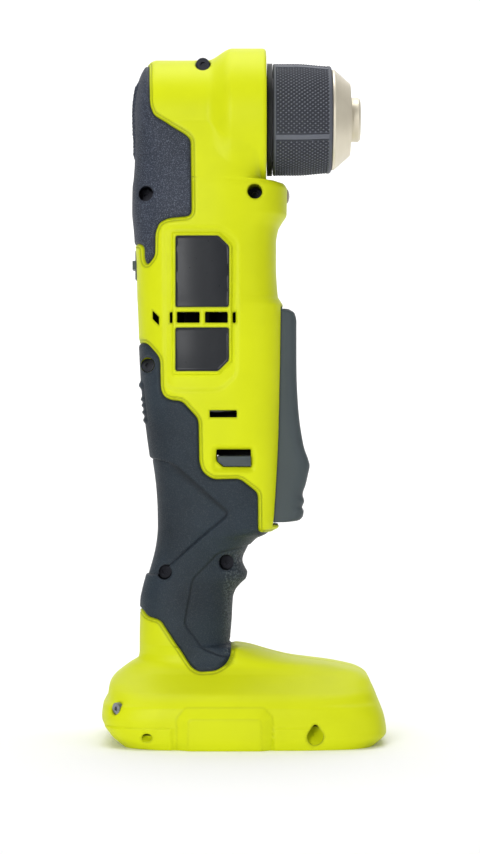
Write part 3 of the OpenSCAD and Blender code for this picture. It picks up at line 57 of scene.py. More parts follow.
def add_piece(name, points, faces, material, body, slot, stands_for=(), marks=None, sharp=42):
    """Makes one object from points in millimetres and index arrays of three or four columns.

    marks holds a number per point for each named attribute. Edges that bend by more than sharp
    degrees stay crisp, and all others are shaded smooth.
    """
    mesh = bpy.data.meshes.new(name)
    mesh.vertices.add(len(points))
    mesh.vertices.foreach_set("co", (points * MM).astype(np.float32).ravel())
    loops = join([f.ravel() for f in faces])
    sizes = join([np.full(len(f), f.shape[1]) for f in faces])
    mesh.loops.add(len(loops))
    mesh.loops.foreach_set("vertex_index", loops.astype(np.int32))
    mesh.polygons.add(len(sizes))
    mesh.polygons.foreach_set("loop_start", (np.cumsum(sizes) - sizes).astype(np.int32))
    mesh.update(calc_edges=True)
    mesh.validate()
    mesh.shade_smooth()
    mesh.set_sharp_from_angle(angle=math.radians(sharp))
    for key, values in (marks or {}).items():
        layer = mesh.attributes.new(key, "FLOAT", "POINT")
        layer.data.foreach_set("value", values.astype(np.float32))
    mesh.materials.append(material)
    obj = bpy.data.objects.new(name, mesh)
    scene.collection.objects.link(obj)
    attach(obj, body)
    if stands_for:
        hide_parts(*stands_for)
    print(name, "points", len(points), "faces", len(sizes))


def grid_faces(rows, cols, around=False, flip=False):
    """Quads between neighbouring points of a grid, joined round to the first column if it goes around."""
    number = np.arange(rows * cols).reshape(rows, cols)
    if around:
        number = join([number, number[:, :1]], axis=1)
    quads = np.stack([number[:-1, :-1], number[:-1, 1:], number[1:, 1:], number[1:, :-1]], axis=-1)
    quads = quads.reshape(-1, 4)
    return quads[:, ::-1] if flip else quads


def sheet(x, y, z, around=False, flip=False):
    """Points and faces of a grid whose three coordinates are spread to one shape."""
    points = np.stack(np.broadcast_arrays(x, y, z), axis=-1)
    return points.reshape(-1, 3), [grid_faces(*points.shape[:2], around, flip)]


def ease(t):
    """A step from 0 to 1 that starts and ends level: three t squared minus two t cubed."""
    t = np.clip(t, 0, 1)
    return t * t * (3 - 2 * t)


def gentle(at, knots, values):
    """A cubic through the knots. Each slope is the harmonic mean of its neighbours, so nothing overshoots."""
    gap = np.diff(knots)[:, None]
    rise = np.diff(values, axis=0) / gap
    both = rise[:-1] * rise[1:]
    harmonic = 2 * both / np.where(both > 0, rise[:-1] + rise[1:], 1)
    slope = join([rise[:1], np.where(both > 0, harmonic, 0), rise[-1:]])
    k = np.clip(np.searchsorted(knots, at, side="right") - 1, 0, len(knots) - 2)
    t = ((at - knots[k]) / gap[k, 0])[:, None]
    return ((1 + 2 * t) * (1 - t) ** 2 * values[k] + t * (1 - t) ** 2 * gap[k] * slope[k]
            + t * t * (3 - 2 * t) * values[k + 1] + t * t * (t - 1) * gap[k] * slope[k + 1])

# %% [markdown]
# ## Shader nodes as sums
# A node tree is easier to read as a formula. The class below wraps the output of a node, so that
# plus, minus and times each add a Math node, and one method makes every other node.

# %% Finish helpers
def paint(red, green, blue):
    """A colour given as it looks on screen, from 0 to 255, turned into linear light."""
    c = np.array([red, green, blue]) / 255
    c = np.where(c <= 0.04045, c / 12.92, ((c + 0.055) / 1.055) ** 2.4)
    return (*c.tolist(), 1)


class Flow:
    """The output of a node. Arithmetic on it adds Math nodes to the same tree."""

    def __init__(self, finish, socket):
        self.finish, self.socket = finish, socket

    def math(self, kind, *terms):
        return self.finish.node("ShaderNodeMath", {"operation": kind}, dict(enumerate(terms)))

    def __add__(self, other): return self.math("ADD", self, other)
    def __radd__(self, other): return self.math("ADD", other, self)
    def __sub__(self, other): return self.math("SUBTRACT", self, other)
    def __rsub__(self, other): return self.math("SUBTRACT", other, self)
    def __mul__(self, other): return self.math("MULTIPLY", self, other)
    def __rmul__(self, other): return self.math("MULTIPLY", other, self)


class Finish:
    """One material, with its principled shader and its object coordinates."""

    def __init__(self, name):
        self.material = bpy.data.materials.new(name)
        self.material.use_nodes = True
        self.tree = self.material.node_tree
        self.shader = self.tree.nodes["Principled BSDF"]
        self.place = self.node("ShaderNodeTexCoord", {}, {}, "Object")

    def node(self, kind, settings, sockets, out=0):
        """Adds a node: its settings first, then a value or a link for each named socket."""
        made = self.tree.nodes.new(kind)
        for key, value in settings.items():
            setattr(made, key, value)
        for key, value in sockets.items():
            self.feed(made.inputs[key], value)
        return Flow(self, made.outputs[out])

    def feed(self, socket, value):
        if isinstance(value, Flow):
            self.tree.links.new(value.socket, socket)
        else:
            socket.default_value = paint(*value) if socket.type == "RGBA" else value

    def noise(self, scale, detail, rough=0.5, place=None):
        return self.node("ShaderNodeTexNoise", {}, {
            "Vector": place or self.place, "Scale": scale, "Detail": detail, "Roughness": rough})

    def cells(self, scale):
        return self.node("ShaderNodeTexVoronoi", {"feature": "F1"},
                         {"Vector": self.place, "Scale": scale}, "Distance")

    def stretched(self, factors):
        return self.node("ShaderNodeVectorMath", {"operation": "MULTIPLY"}, {0: self.place, 1: factors})

    def mark(self, name):
        return self.node("ShaderNodeAttribute", {"attribute_name": name}, {}, "Fac")

    def between(self, value, low, high):
        return self.node("ShaderNodeMapRange", {"interpolation_type": "SMOOTHSTEP"},
                         {"Value": value, "From Min": low, "From Max": high})

    def blend(self, share, first, second):
        return self.node("ShaderNodeMix", {"data_type": "RGBA"}, {0: share, 6: first, 7: second}, 2)

    def bump(self, height, depth, strength=1.0):
        return self.node("ShaderNodeBump", {}, {"Height": height, "Distance": depth, "Strength": strength})

    def set(self, **sockets):
        for key, value in sockets.items():
            self.feed(self.shader.inputs[key.replace("_", " ")], value)
        return self.material

# %% [markdown]
# ## Finishes of the outside
# The shell is satin lime plastic with a fine moulded grain. The grips are a soft slate rubber with
# a grain coarse enough to sparkle, its pale specks painted in as glints. Both get painted shade in the
# grooves, lines and creases: the surfaces carry that as an attribute named groove, which the shader reads.

# %% Plastics and rubber
# How many cells of each pattern lie along a metre of rubber, and how deep its grain is, in metres.
GRAIN, SPECK, DOT, CLOUD, GRAIN_DEPTH = 2100, 2700, 1150, 35, 0.00012


def moulded(name, colour, deep, rough, grain, depth, cloud=28, painted_shade=0.55):
    """Moulded plastic: a slow cloud of colour, painted shade in the grooves, and a fine grain as bump."""
    f = Finish(name)
    drift = f.noise(cloud, 4)
    fine = f.noise(grain, 3, 0.6)
    # Painted shade: the groove mark darkens the colour in grooves, lines and creases.
    groove = f.mark("groove")
    tone = f.blend(f.between(drift, 0.35, 0.75) * 0.12, colour, deep)
    return f.set(Specular_IOR_Level=0.18, Base_Color=f.blend(groove * painted_shade, tone, deep),
                 Roughness=rough + 0.12 * (fine - 0.5) + 0.12 * groove, Normal=f.bump(fine, depth, 0.5))


def soft_rubber(name, colour, light, deep, sparkle):
    """Soft grip: rounded grains from a cell pattern, pale specks painted as glints, and a dotted finger
    patch.
    """
    f = Finish(name)
    grains = f.between(f.cells(GRAIN), 0.1, 0.75)
    speck = f.between(f.noise(SPECK, 1), 0.5, 0.68)
    drift = f.noise(CLOUD, 3)
    dots = (1 - f.between(f.cells(DOT), 0.25, 0.65)) * f.mark("finger")
    groove = f.mark("groove")
    tone = f.blend(f.between(drift, 0.3, 0.75) * 0.6, colour, deep)
    # Painted glints: pale, slightly smoother specks at random.
    tone = f.blend(speck * sparkle, tone, light)
    # Painted highlight: the raised dots of the finger patch are painted lighter too.
    tone = f.blend(dots * 0.42, tone, light)
    # Painted shade: darker in the grooves, along the lines and on the palm's slope.
    tone = f.blend(groove * 0.75, tone, deep)
    height = (1 - grains) * 0.6 + speck * 0.5 + dots * 2
    rough = 0.62 - 0.14 * speck + 0.08 * (drift - 0.5)
    return f.set(Specular_IOR_Level=0.3, Base_Color=tone, Roughness=rough,
                 Normal=f.bump(height, GRAIN_DEPTH, 0.6))


lime_plastic = moulded("lime_plastic", (210, 219, 14), (120, 130, 4), 0.46, 1500, 0.00004, painted_shade=0.85)
coarse_rubber = soft_rubber("coarse_rubber", (47, 53, 66), (112, 120, 136), (26, 30, 38), 0.5)
slate_rubber = soft_rubber("slate_rubber", (35, 47, 57), (104, 112, 116), (17, 23, 30), 0.1)
slate_plastic = moulded("slate_plastic", (72, 80, 83), (44, 50, 54), 0.42, 1300, 0.00005)
sleeve_plastic = moulded("sleeve_plastic", (128, 132, 142), (40, 42, 49), 0.4, 1700, 0.00003, painted_shade=0.92)
black_plastic = moulded("black_plastic", (34, 35, 38), (18, 19, 21), 0.45, 1400, 0.00004)
plate_film = moulded("plate_film", (38, 40, 44), (24, 26, 29), 0.3, 700, 0.00001, cloud=60)
print("plastics made:", len(bpy.data.materials))

# %% [markdown]
# ## Finishes of the metal pieces
# Turned steel shows fine rings round its axis, and pressed or ground steel shows streaks along one
# direction. Both come from noise that is squeezed along one axis, so no picture is needed.

# %% Metals
def turned(name, colour, deep, rough, streak=(2600, 60, 60), metal=1.0):
    """Machined metal: squeezed noise gives tool marks, a slow cloud gives tarnish."""
    f = Finish(name)
    strokes = f.noise(1, 2, 0.6, f.stretched(streak))
    drift = f.noise(55, 4)
    tone = f.blend(f.between(drift, 0.35, 0.8) * 0.6 + 0.2 * strokes, colour, deep)
    return f.set(Base_Color=tone, Metallic=metal, Roughness=rough + 0.18 * (strokes - 0.5) + 0.1 * drift,
                 Normal=f.bump(strokes, 0.00002, 0.35))


nose_steel = turned("nose_steel", (226, 218, 198), (196, 186, 164), 0.36, metal=0.45)
black_steel = turned("black_steel", (46, 47, 52), (24, 25, 28), 0.36)
screw_steel = turned("screw_steel", (150, 152, 156), (84, 86, 90), 0.34)
gear_steel = turned("gear_steel", (140, 140, 142), (92, 92, 95), 0.36, (60, 60, 2600))
bearing_steel = turned("bearing_steel", (190, 190, 192), (140, 140, 144), 0.22)
lamination = turned("lamination", (120, 120, 124), (70, 70, 74), 0.5, (40, 40, 3200))
cast_alloy = turned("cast_alloy", (168, 170, 174), (120, 122, 126), 0.55, (400, 400, 400))
contact_brass = turned("contact_brass", (206, 170, 96), (150, 112, 52), 0.3)
print("with metals:", len(bpy.data.materials))

# %% Lens, winding and board
# A milky lamp lens: pale plastic with a faint cloud and a gloss coat.
f = Finish("lens_plastic")
drift = f.noise(420, 3)
tone = f.blend(drift, (206, 196, 178), (150, 138, 120))
lens_plastic = f.set(Base_Color=tone, Roughness=0.12 + 0.1 * drift, Transmission_Weight=0.35, Coat_Weight=0.6)
# A lacquered winding: thin bands of colour along the wire's pitch.
f = Finish("copper_winding")
bands = f.node("ShaderNodeTexWave", {"bands_direction": "Z"},
               {"Vector": f.place, "Scale": 900, "Distortion": 1.5})
tone = f.blend(bands, (196, 112, 60), (120, 58, 28))
copper_winding = f.set(Base_Color=tone, Metallic=0.9, Roughness=0.32 + 0.2 * bands,
                       Normal=f.bump(bands, 0.0002))
# A circuit board: solder mask with faint tracks along the borders of a cell pattern.
f = Finish("circuit_board")
tracks = f.between(f.cells(260), 0.32, 0.36)
tone = f.blend(tracks, (22, 92, 58), (46, 128, 84))
circuit_board = f.set(Base_Color=tone, Roughness=0.35 + 0.15 * tracks, Normal=f.bump(tracks, 0.00005))
print("finishes made:", len(bpy.data.materials))

# %% [markdown]
# ## The housing as one sheet per side
# Each side of the real housing is one moulding. Here it is one grid: rows are level slices from the
# floor to the chuck's axis, and above the axis the last slice turns about that axis up to the top.
# A slice joins two outlines, the column's rounded rectangle and the head's round barrel, by a
# maximum with a soft corner, so that the head grows out of the body as a moulding does.

# %% The head's profile
AXIS_Z = 240.7
HEAD_R, COLLAR_R, COLLAR_X, HEAD_BACK = 23, 27.6, 8.6, -42.6
# The head's back is an oval round a small flat, and the collar has a rounded edge.
OVAL_DEPTH, FLAT_R, COLLAR_EDGE = 9, 3, 1.6
# The barrel starts to widen this far behind the collar's face, over this length.
RISE_BEHIND, RISE_LENGTH = 23, 10


def head_profile():
    """The barrel's radius along the axis: a quarter oval at the back, an eased rise and a rounded collar."""
    a = np.linspace(0, np.pi / 2, 60)
    t = np.linspace(0, 1, 40)
    x = join([HEAD_BACK + OVAL_DEPTH * (1 - np.cos(a)), COLLAR_X - RISE_BEHIND + RISE_LENGTH * t,
              COLLAR_X - COLLAR_EDGE * (1 - np.sin(a))])
    r = join([FLAT_R + (HEAD_R - FLAT_R) * np.sin(a), HEAD_R + (COLLAR_R - HEAD_R) * ease(t),
              COLLAR_R - COLLAR_EDGE * (1 - np.cos(a))])
    return x, r

# %% The housing's slices
# The corner between column and barrel is filled by this much, and less near the axis.
FILLET, FILLET_FADE = 6, 14
# Points along a slice before it is divided evenly.
FINE = 460
# Height, back, front, half width, and how square the back and the front are.
SECTIONS = np.array([
    (0, -46, 50, 36.8, 5, 5), (4.8, -51.5, 54.6, 37.8, 5, 5), (10.4, -54.6, 53.8, 37.8, 5, 5),
    (15.3, -54.1, 52.1, 37.3, 4.6, 4.6), (17, -52.7, 51.4, 36.4, 4.4, 4.2), (20, -52.3, 50.2, 33.6, 4, 4.6),
    (22.3, -51.9, 49.1, 29.2, 3.8, 5), (24.6, -50.3, 48, 24.7, 3.5, 5.4), (27, -47.6, 44.6, 20.7, 3.2, 5.4),
    (29.3, -44.5, 36, 18.5, 3, 4.4), (31.7, -41.1, 19.5, 17.5, 2.8, 3.4), (34, -40.7, 10.5, 17, 2.6, 2.6),
    (36.3, -40.7, 2.3, 16.8, 2.6, 2.5), (37.4, -40.7, -5.1, 16.6, 2.5, 2.5),
    (46, -40.6, -4.5, 16.5, 2.5, 2.5), (54.5, -40.2, -4, 16.5, 2.5, 2.5), (57.5, -39.6, -3.1, 16.5, 2.5, 2.5),
    (60, -39, -1.1, 16.5, 2.5, 2.4), (62.2, -38.4, 1.1, 16.7, 2.5, 2.3), (64.5, -37.8, 1.6, 16.9, 2.5, 2.3),
    (66.8, -37.1, 0.5, 17.1, 2.5, 2.4), (69.2, -36.4, -0.3, 17.4, 2.5, 2.4),
    (73.7, -35.3, 1.3, 18.3, 2.5, 2.5), (78.1, -34.6, 5.1, 19.3, 2.6, 2.6),
    (80.3, -34.4, 11.1, 19.9, 2.7, 2.8), (82.5, -34.3, 13.6, 20.4, 2.7, 3),
    (89.5, -34.4, 13.8, 21.1, 2.8, 3.2), (96.5, -34.8, 14, 22, 2.8, 3.2),
    (116.6, -37.5, 14.6, 24.1, 3, 3.2), (136.6, -39.8, 14.9, 25.5, 3, 3.2),
    (150.6, -40.6, 15.1, 26, 3, 3.2), (167.5, -41.3, 15.3, 26, 3, 3.2), (169.6, -41.4, 14.3, 26, 3, 3.1),
    (171.6, -41.5, 13.2, 26, 3, 3), (184, -41.7, 12.5, 26, 3, 2.9), (192, -42.3, 12.5, 26, 3, 2.8),
    (197.5, -42.7, 13.3, 26, 3, 2.7), (201, -43.1, 15.1, 26, 3, 2.6), (203.5, -43.3, 16.6, 26, 3, 2.5),
    (213, -43.2, 16.8, 25.8, 3, 2.5), (215.3, -43, 15.5, 25.6, 3, 2.5), (216.2, -42.8, 6.6, 25.5, 3, 4.5),
    (226, -42.2, 6.6, 24.4, 3.2, 4.5), (240.7, -42.1, 6.6, 22.4, 3.6, 5),
])


def slices(z, count):
    """One outline per height, from the back seam to the front seam, at equal steps along it."""
    hx, hr = head_profile()
    back, front, half, square_back, square_front = gentle(z, SECTIONS[:, 0], SECTIONS[:, 1:]).T[..., None]
    drop = np.abs(AXIS_Z - z)[:, None]
    rising = np.argmax(hr)
    start = np.where(drop < COLLAR_R, np.interp(drop, hr[:rising + 1], hx[:rising + 1]), back)
    end = np.where(drop < COLLAR_R, np.interp(-drop, -hr[rising:], hx[rising:]), front)
    first, last = np.minimum(back, start), np.maximum(front, end)
    x = (first + last) / 2 - (last - first) / 2 * np.cos(np.linspace(0, np.pi, FINE))
    s = (x - (back + front) / 2) / ((front - back) / 2)
    power = np.where(s < 0, square_back, square_front)
    column = half * np.clip(1 - np.abs(s) ** power, 0, 1) ** (1 / power)
    barrel = np.sqrt(np.clip(np.interp(x, hx, hr, 0, 0) ** 2 - drop ** 2, 0, None))
    soft = 0.01 + FILLET * ease((AXIS_Z - 3 - z) / FILLET_FADE)[:, None]
    meet = np.clip(1 - np.abs(column - barrel) / soft, 0, 1) ** 2
    meet = meet * np.clip(np.minimum(column, barrel) / FILLET, 0, 1)
    width = np.maximum(column, barrel) + soft / 4 * meet
    px = join([first, x, last], axis=1)
    py = np.pad(width, ((0, 0), (1, 1)))
    run = np.pad(np.cumsum(np.hypot(np.diff(px), np.diff(py)), axis=1), ((0, 0), (1, 0)))
    share = np.linspace(0, 1, count)
    out = [(np.interp(share * r[-1], r, a), np.interp(share * r[-1], r, b)) for r, a, b in zip(run, px, py)]
    return np.array(out).transpose(0, 2, 1)

# %% The housing's grid
# Lowest and highest level of each band of rows, with its number of rows.
ROW_BANDS = ((0, 14, 26), (14, 40, 72), (40, 84, 86), (84, 200, 214), (200, AXIS_Z, 82))
LEVELS = join([np.linspace(*band)[:-1] for band in ROW_BANDS] + [[AXIS_Z]])
ACROSS, TURNED_ROWS = 216, 78


def side_grid():
    """The right side's points: the slices, then the top slice turned about the chuck's axis."""
    flat = slices(LEVELS, ACROSS)
    low = np.stack(np.broadcast_arrays(flat[..., 0], -flat[..., 1], LEVELS[:, None]), axis=-1)
    a = np.linspace(0, np.pi / 2, TURNED_ROWS)[1:, None]
    x, w = flat[-1, :, 0], flat[-1, :, 1]
    high = np.stack(np.broadcast_arrays(x, -w * np.cos(a), AXIS_Z + w * np.sin(a)), axis=-1)
    return join([low, high])


grid = side_grid()
print("housing grid:", grid.shape, "top:", grid[..., 2].max().round(1))

# %% [markdown]
# ## Where one material ends and the next begins
# The grips, the plates and the openings are drawn as outlines on the tool's side. For each point of
# the grid we want its distance to an outline, positive inside. Points close to a border are then
# pulled onto it, so that the border runs smoothly along edges of the mesh instead of in steps.

# %% Distances to outlines
def rounded(points, radius):
    """The outline with each corner replaced by a short curve that starts a radius before it."""
    p = np.array(points, float)
    before, after = np.roll(p, 1, 0) - p, np.roll(p, -1, 0) - p
    lb, la = np.linalg.norm(before, axis=1, keepdims=True), np.linalg.norm(after, axis=1, keepdims=True)
    a, b = p + before / lb * np.minimum(radius, 0.45 * lb), p + after / la * np.minimum(radius, 0.45 * la)
    t = np.linspace(0, 1, 7)[None, :, None]
    return ((1 - t) ** 2 * a[:, None] + 2 * t * (1 - t) * p[:, None] + t * t * b[:, None]).reshape(-1, 2)


def inside(x, z, outline):
    """Distance to the outline's nearest edge, positive inside, as an even-odd count of crossings tells."""
    least = np.full(x.shape, np.inf)
    odd = np.zeros(x.shape, bool)
    for (ax, az), (bx, bz) in zip(outline, np.roll(outline, -1, 0)):
        ex, ez = bx - ax, bz - az
        t = np.clip(((x - ax) * ex + (z - az) * ez) / (ex * ex + ez * ez + 1e-12), 0, 1)
        least = np.minimum(least, (x - ax - t * ex) ** 2 + (z - az - t * ez) ** 2)
        if ez:
            odd ^= ((az > z) != (bz > z)) & (x < ex * (z - az) / ez + ax)
    return np.where(odd, 1, -1) * np.sqrt(least)


def slab(x, z, x0, x1, z0, z1):
    """Distance inside an upright rectangle: the nearest of its four sides."""
    return np.minimum(np.minimum(x - x0, x1 - x), np.minimum(z - z0, z1 - z))

# %% The outlines
HEAD_GRIP = rounded([
    (-90, 261.3), (-37, 261.3), (-36.2, 243.7), (-34.6, 239.7), (-22.1, 232.1), (-20.3, 230.1),
    (-19.9, 202.3), (-21.1, 200.9), (-28.9, 200.3), (-32.5, 198.7), (-34.1, 195.1), (-34.3, 186.1),
    (-37.3, 182.7), (-38.5, 185.1), (-38.5, 189.9), (-40.9, 191.5), (-90, 191.5)], 1.6)
HANDLE_GRIP = rounded([
    (-90, 153.6), (-37.7, 153.2), (-33.1, 148.2), (-32.3, 146.2), (-32.1, 135.4), (-30.9, 132.6),
    (-28.3, 131.2), (-23.7, 130.8), (-17.9, 124.6), (-17.3, 122.6), (-17.1, 107.4), (-15.7, 103.6),
    (-11.9, 101), (-1.5, 101.2), (5.5, 95.8), (5.7, 79.9), (90, 79.9), (90, 38.8), (-4.9, 38.8), (-4.9, 34.4),
    (-6.7, 30.6), (-10.7, 28.4), (-17.3, 28), (-20.3, 29.6), (-32.3, 47), (-37.7, 48.2), (-39.7, 50.8),
    (-90, 50.8)], 1.8)
UPPER_PLATE = rounded([(-25.8, 166.45), (-5.8, 166.45), (-5.8, 189.45), (-9.8, 193.45), (-25.8, 193.45)], 0.8)
LOWER_PLATE = rounded([(-25.8, 142.25), (-9.8, 142.25), (-5.8, 146.25), (-5.8, 158.65), (-25.8, 158.65)], 0.8)
FRAME = rounded([
    (-27.3, 140.6), (-9.6, 140.6), (-4.4, 145.8), (-4.4, 189.9), (-9.4, 194.9), (-27.3, 194.9)], 0.8)
PANEL = rounded([
    (-31, 137), (-27, 134.3), (-9, 134.3), (-2, 140.4), (-1.6, 192.2), (-8.4, 197.4), (-31, 197.4)], 3)
PALM = rounded([
    (-90, 109.6), (-35.2, 109.1), (-26.4, 107.2), (-5, 88.1), (-28, 68.2), (-33, 64), (-90, 64)], 3)
FINGERS = rounded([
    (90, 75.3), (0.5, 75.1), (-9.6, 72.8), (-19.5, 62.8), (-22.8, 45.6), (-15.6, 36), (-9, 33.4),
    (90, 33.4)], 1.6)
DISH = rounded([(-12.8, 103.2), (5, 103.2), (5, 114.4), (-12.8, 114.4)], 3)
BLOCK = rounded([(-25.2, -9), (10.7, -9), (10.7, 12.4), (7.4, 16), (-21.9, 16), (-25.2, 12.4)], 1)
WINDOW = rounded([(-8.1, 105.6), (3, 105.6), (3, 112.4), (-10.6, 112.4), (-10.6, 107.9)], 0.6)
SLANT_VENT = np.array([(-35.1, 162.15), (-32.5, 159.55), (-32.5, 162.95), (-35.1, 165.55)])
TEAR_X, TEAR_Z, TEAR_R, TEAR_TIP = 26.6, 5.1, 3.2, 10.6
TEAR = rounded([(TEAR_X + TEAR_R * math.cos(a), TEAR_Z + TEAR_R * math.sin(a))
                for a in np.radians(np.arange(140, 401, 20))] + [(TEAR_X, TEAR_TIP)], 2.5)
# Each screw's place on the side, and how far its head lies from the middle plane.
GRIP_SCREW = (-37.1, 144.8, 5.5)
SCREWS = [(-15.9, 261, 6.5), (-37.6, 210.1, 6.5), (4.2, 210.7, 6.5), GRIP_SCREW, (-30.7, 65.3, 6.5),
          (-6.5, 68.9, 6.5)]
print("points of the grips' outlines:", len(HEAD_GRIP), len(HANDLE_GRIP))

# %% [markdown]
# ## Openings in the housing
# Every opening of the solids is cut into the sheet too, with a wall that runs inwards from its rim:
# along the screw for the screw wells, straight in for the vents, and backwards for the trigger's bay.
# Each opening is a distance, positive where material is missing, with the place its wall ends.

# %% The openings
FAR = -99
SCREW_WELL_R, LAMP_Z, LAMP_R, SPINDLE_R = 2.9, 210.9, 2.8, 15
HOLE_X, HOLE_Z, HOLE_R, HOLE_SQUASH = -36.3, 4.8, 1.5, 0.8
# Middle and half length of each slot, and the levels between which they lie.
VENTS, VENT_Z = ((-27.9, 0.6), (-21.1, 4.3), (-10.5, 4.3), (-3.7, 0.6)), (160.45, 164.65)
LOW_VENT = (-13.1, -2.7, 124.65, 127.35)
TRIGGER_BAY, SPEED_WINDOW = (-13.2, 13.2, 83.2, 167.5), (-4.9, 4.9, 173.9, 189.7)
# How far the walls run in from a slot, a window and the trigger's bay.
SLOT_WALL, WINDOW_WALL, BAY_WALL = 3, 4, 5
FOOT_SCREW, FOOT_SCREW_R, FOOT_SCREW_DEPTH = np.array([-42.2, -25.4, 14.9]), 2.3, 6.4
FOOT_SCREW_WAY = np.array([math.cos(math.radians(220)), math.sin(math.radians(220)), 0])


def openings(p, right):
    """For each opening, every point's distance and the inner end of a wall that starts there."""
    x, y, z = np.moveaxis(p, -1, 0)
    side = y < -8
    along = (p - FOOT_SCREW) @ FOOT_SCREW_WAY
    from_line = np.linalg.norm(p - FOOT_SCREW - along[..., None] * FOOT_SCREW_WAY, axis=-1)
    hole = HOLE_R - np.hypot((x - HOLE_X) * HOLE_SQUASH, z - HOLE_Z)
    found = []

    def add(place, distance, end):
        found.append((np.where(place, distance, FAR), end))

    def moved(dx, dy):
        return p + (dx, dy, 0)

    def down_to(depth):
        return np.stack([x, np.full_like(y, -depth), z], axis=-1)

    # Each opening counts only on the part of the surface that it goes through.
    if right:
        for sx, sz, depth in SCREWS:
            add(True, np.minimum(SCREW_WELL_R - np.hypot(x - sx, z - sz), -depth - y), down_to(depth))
        add(side, inside(x, z, TEAR), down_to(26))
        add(side, hole, moved(0, WINDOW_WALL))
    for vx, half in VENTS:
        add(side, slab(x, z, vx - half, vx + half, *VENT_Z), moved(0, SLOT_WALL))
    add(side, slab(x, z, *LOW_VENT), moved(0, SLOT_WALL))
    add(side, inside(x, z, SLANT_VENT), moved(0, SLOT_WALL))
    add(side, inside(x, z, WINDOW), moved(0, WINDOW_WALL))
    add(x > 5, slab(y, z, *TRIGGER_BAY), moved(-BAY_WALL, 0))
    add(x < -36, slab(y, z, *SPEED_WINDOW), moved(SLOT_WALL, 0))
    add(x > 12, LAMP_R - np.hypot(y, z - LAMP_Z), moved(-SLOT_WALL, 0))
    add(x > 8.3, SPINDLE_R - np.hypot(y, z - AXIS_Z), moved(-2, 0))
    add(along > 0, FOOT_SCREW_R - from_line, p + (FOOT_SCREW_DEPTH - along)[..., None] * FOOT_SCREW_WAY)
    return [np.stack(part) for part in zip(*found)]

# %% Pulling points onto a border
def pull(p, f):
    """Moves each point next to a change of sign onto the border, along the shortest grid edge to it."""
    best = np.full(f.shape, 0.5001)
    moved = p.copy()
    for axis, hop in ((0, 1), (0, -1), (1, 1), (1, -1)):
        other, spot = np.roll(f, -hop, axis), np.roll(p, -hop, axis)
        free = np.ones(f.shape, bool)
        edge = [slice(None)] * 2
        edge[axis] = -1 if hop == 1 else 0
        free[tuple(edge)] = False
        if axis == 1:
            free[:, [0, -1]] = False
            free[-1] = False
        else:
            free[0] = False
        share = np.abs(f) / np.maximum(np.abs(f) + np.abs(other), 1e-9)
        use = free & (f * other < 0) & (share < best)
        best = np.where(use, share, best)
        moved = np.where(use[..., None], p + (spot - p) * share[..., None], moved)
    return moved

# %% [markdown]
# ## Ribs, steps and grooves
# Everything that is too fine for the solids is a small move along the surface's normal: the step of
# the label panel, the dish round the selector, the palm and finger panels of the grip, rows of
# bumps at the back, the raised block of the foot, and the groove that follows every border.

# %% Steps and lines
def step(distance, start, width):
    """0 up to the start, 1 a width further on, eased between."""
    return ease((distance - start) / width)


def below(value, limit, width):
    """1 up to a width before the limit, 0 from the limit on, eased between."""
    return ease((limit - value) / width)


def near(distance, width):
    """1 on the line where the distance is 0, eased to 0 a width away on either side."""
    return 1 - ease(np.abs(distance) / width)


def normals(p):
    """Unit normals from the cross product of the grid's directions, kept in the seam's plane at the seam."""
    n = np.cross(np.gradient(p, axis=1), np.gradient(p, axis=0))
    n[:, [0, -1], 1] = 0
    n[-1, :, 1] = 0
    return n / np.maximum(np.linalg.norm(n, axis=-1, keepdims=True), 1e-9)

# %% Relief of the borders and the label
# The lip's distance from a grip's border, then how deep each line is and how far the grip swells.
LIP, GROOVE_DEEP, LIP_DEEP, SEAM_DEEP, RIM_DEEP, GRIP_SWELL = 1.25, 0.7, 0.28, 0.32, 0.35, 0.18
# How far the label's frame stands out, and how deep its panel and the plates lie.
FRAME_TALL, PANEL_DEEP, PLATE_DEEP = 1.7, 0.5, 0.5


def border_relief(y, z, grip, cut):
    """Grooves along a grip's border and its lip, along the seam and round openings, and the grip's swell."""
    # Painted shade: the groove, the lip line, the seam and the rims round openings are painted darker.
    groove, lip = near(grip, 0.8), near(grip + LIP, 0.55)
    seam, rim = near(y, 0.6) * (grip < 0), 1 - step(-cut, 0, 0.7)
    out = (GRIP_SWELL * step(grip, 0, 1.2) - GROOVE_DEEP * groove - LIP_DEEP * lip
           - SEAM_DEEP * seam * (z > 3) - RIM_DEEP * rim)
    return out, groove, 0.75 * lip + 0.8 * seam + 0.5 * rim


def label_relief(x, z, plate):
    """The frame stands out from a sunk panel, and the plates are let into the frame."""
    return (FRAME_TALL * step(inside(x, z, FRAME), -0.2, 1) - PANEL_DEEP * step(inside(x, z, PANEL), -0.4, 2)
            - PLATE_DEEP * step(plate, -0.1, 0.3))

# %% Relief of the grips
PALM_DEEP, FINGERS_DEEP, LINE_DEEP = 0.9, 0.45, 0.3
# The palm's upper edge slopes above a level and in front of a place, and the insert lies between levels.
SLOPE_Z, SLOPE_X, INSERT_LOW, INSERT_HIGH = 86, -31, 122, 138.5
KNOB_TALL, KNOB_PITCH, KNOBS_LOW, KNOBS_HIGH, KNOBS_HALF, RIBS_HALF = 0.8, 2.7, 224, 255, 12, 13
# Level, half height and depth of each rib on the handle's back.
BACK_RIBS = ((137.2, 2, 0.9), (131.8, 1.2, 0.7), (129.4, 1.1, 0.6), (126.7, 1.2, 0.7), (123.6, 1.5, 0.7))


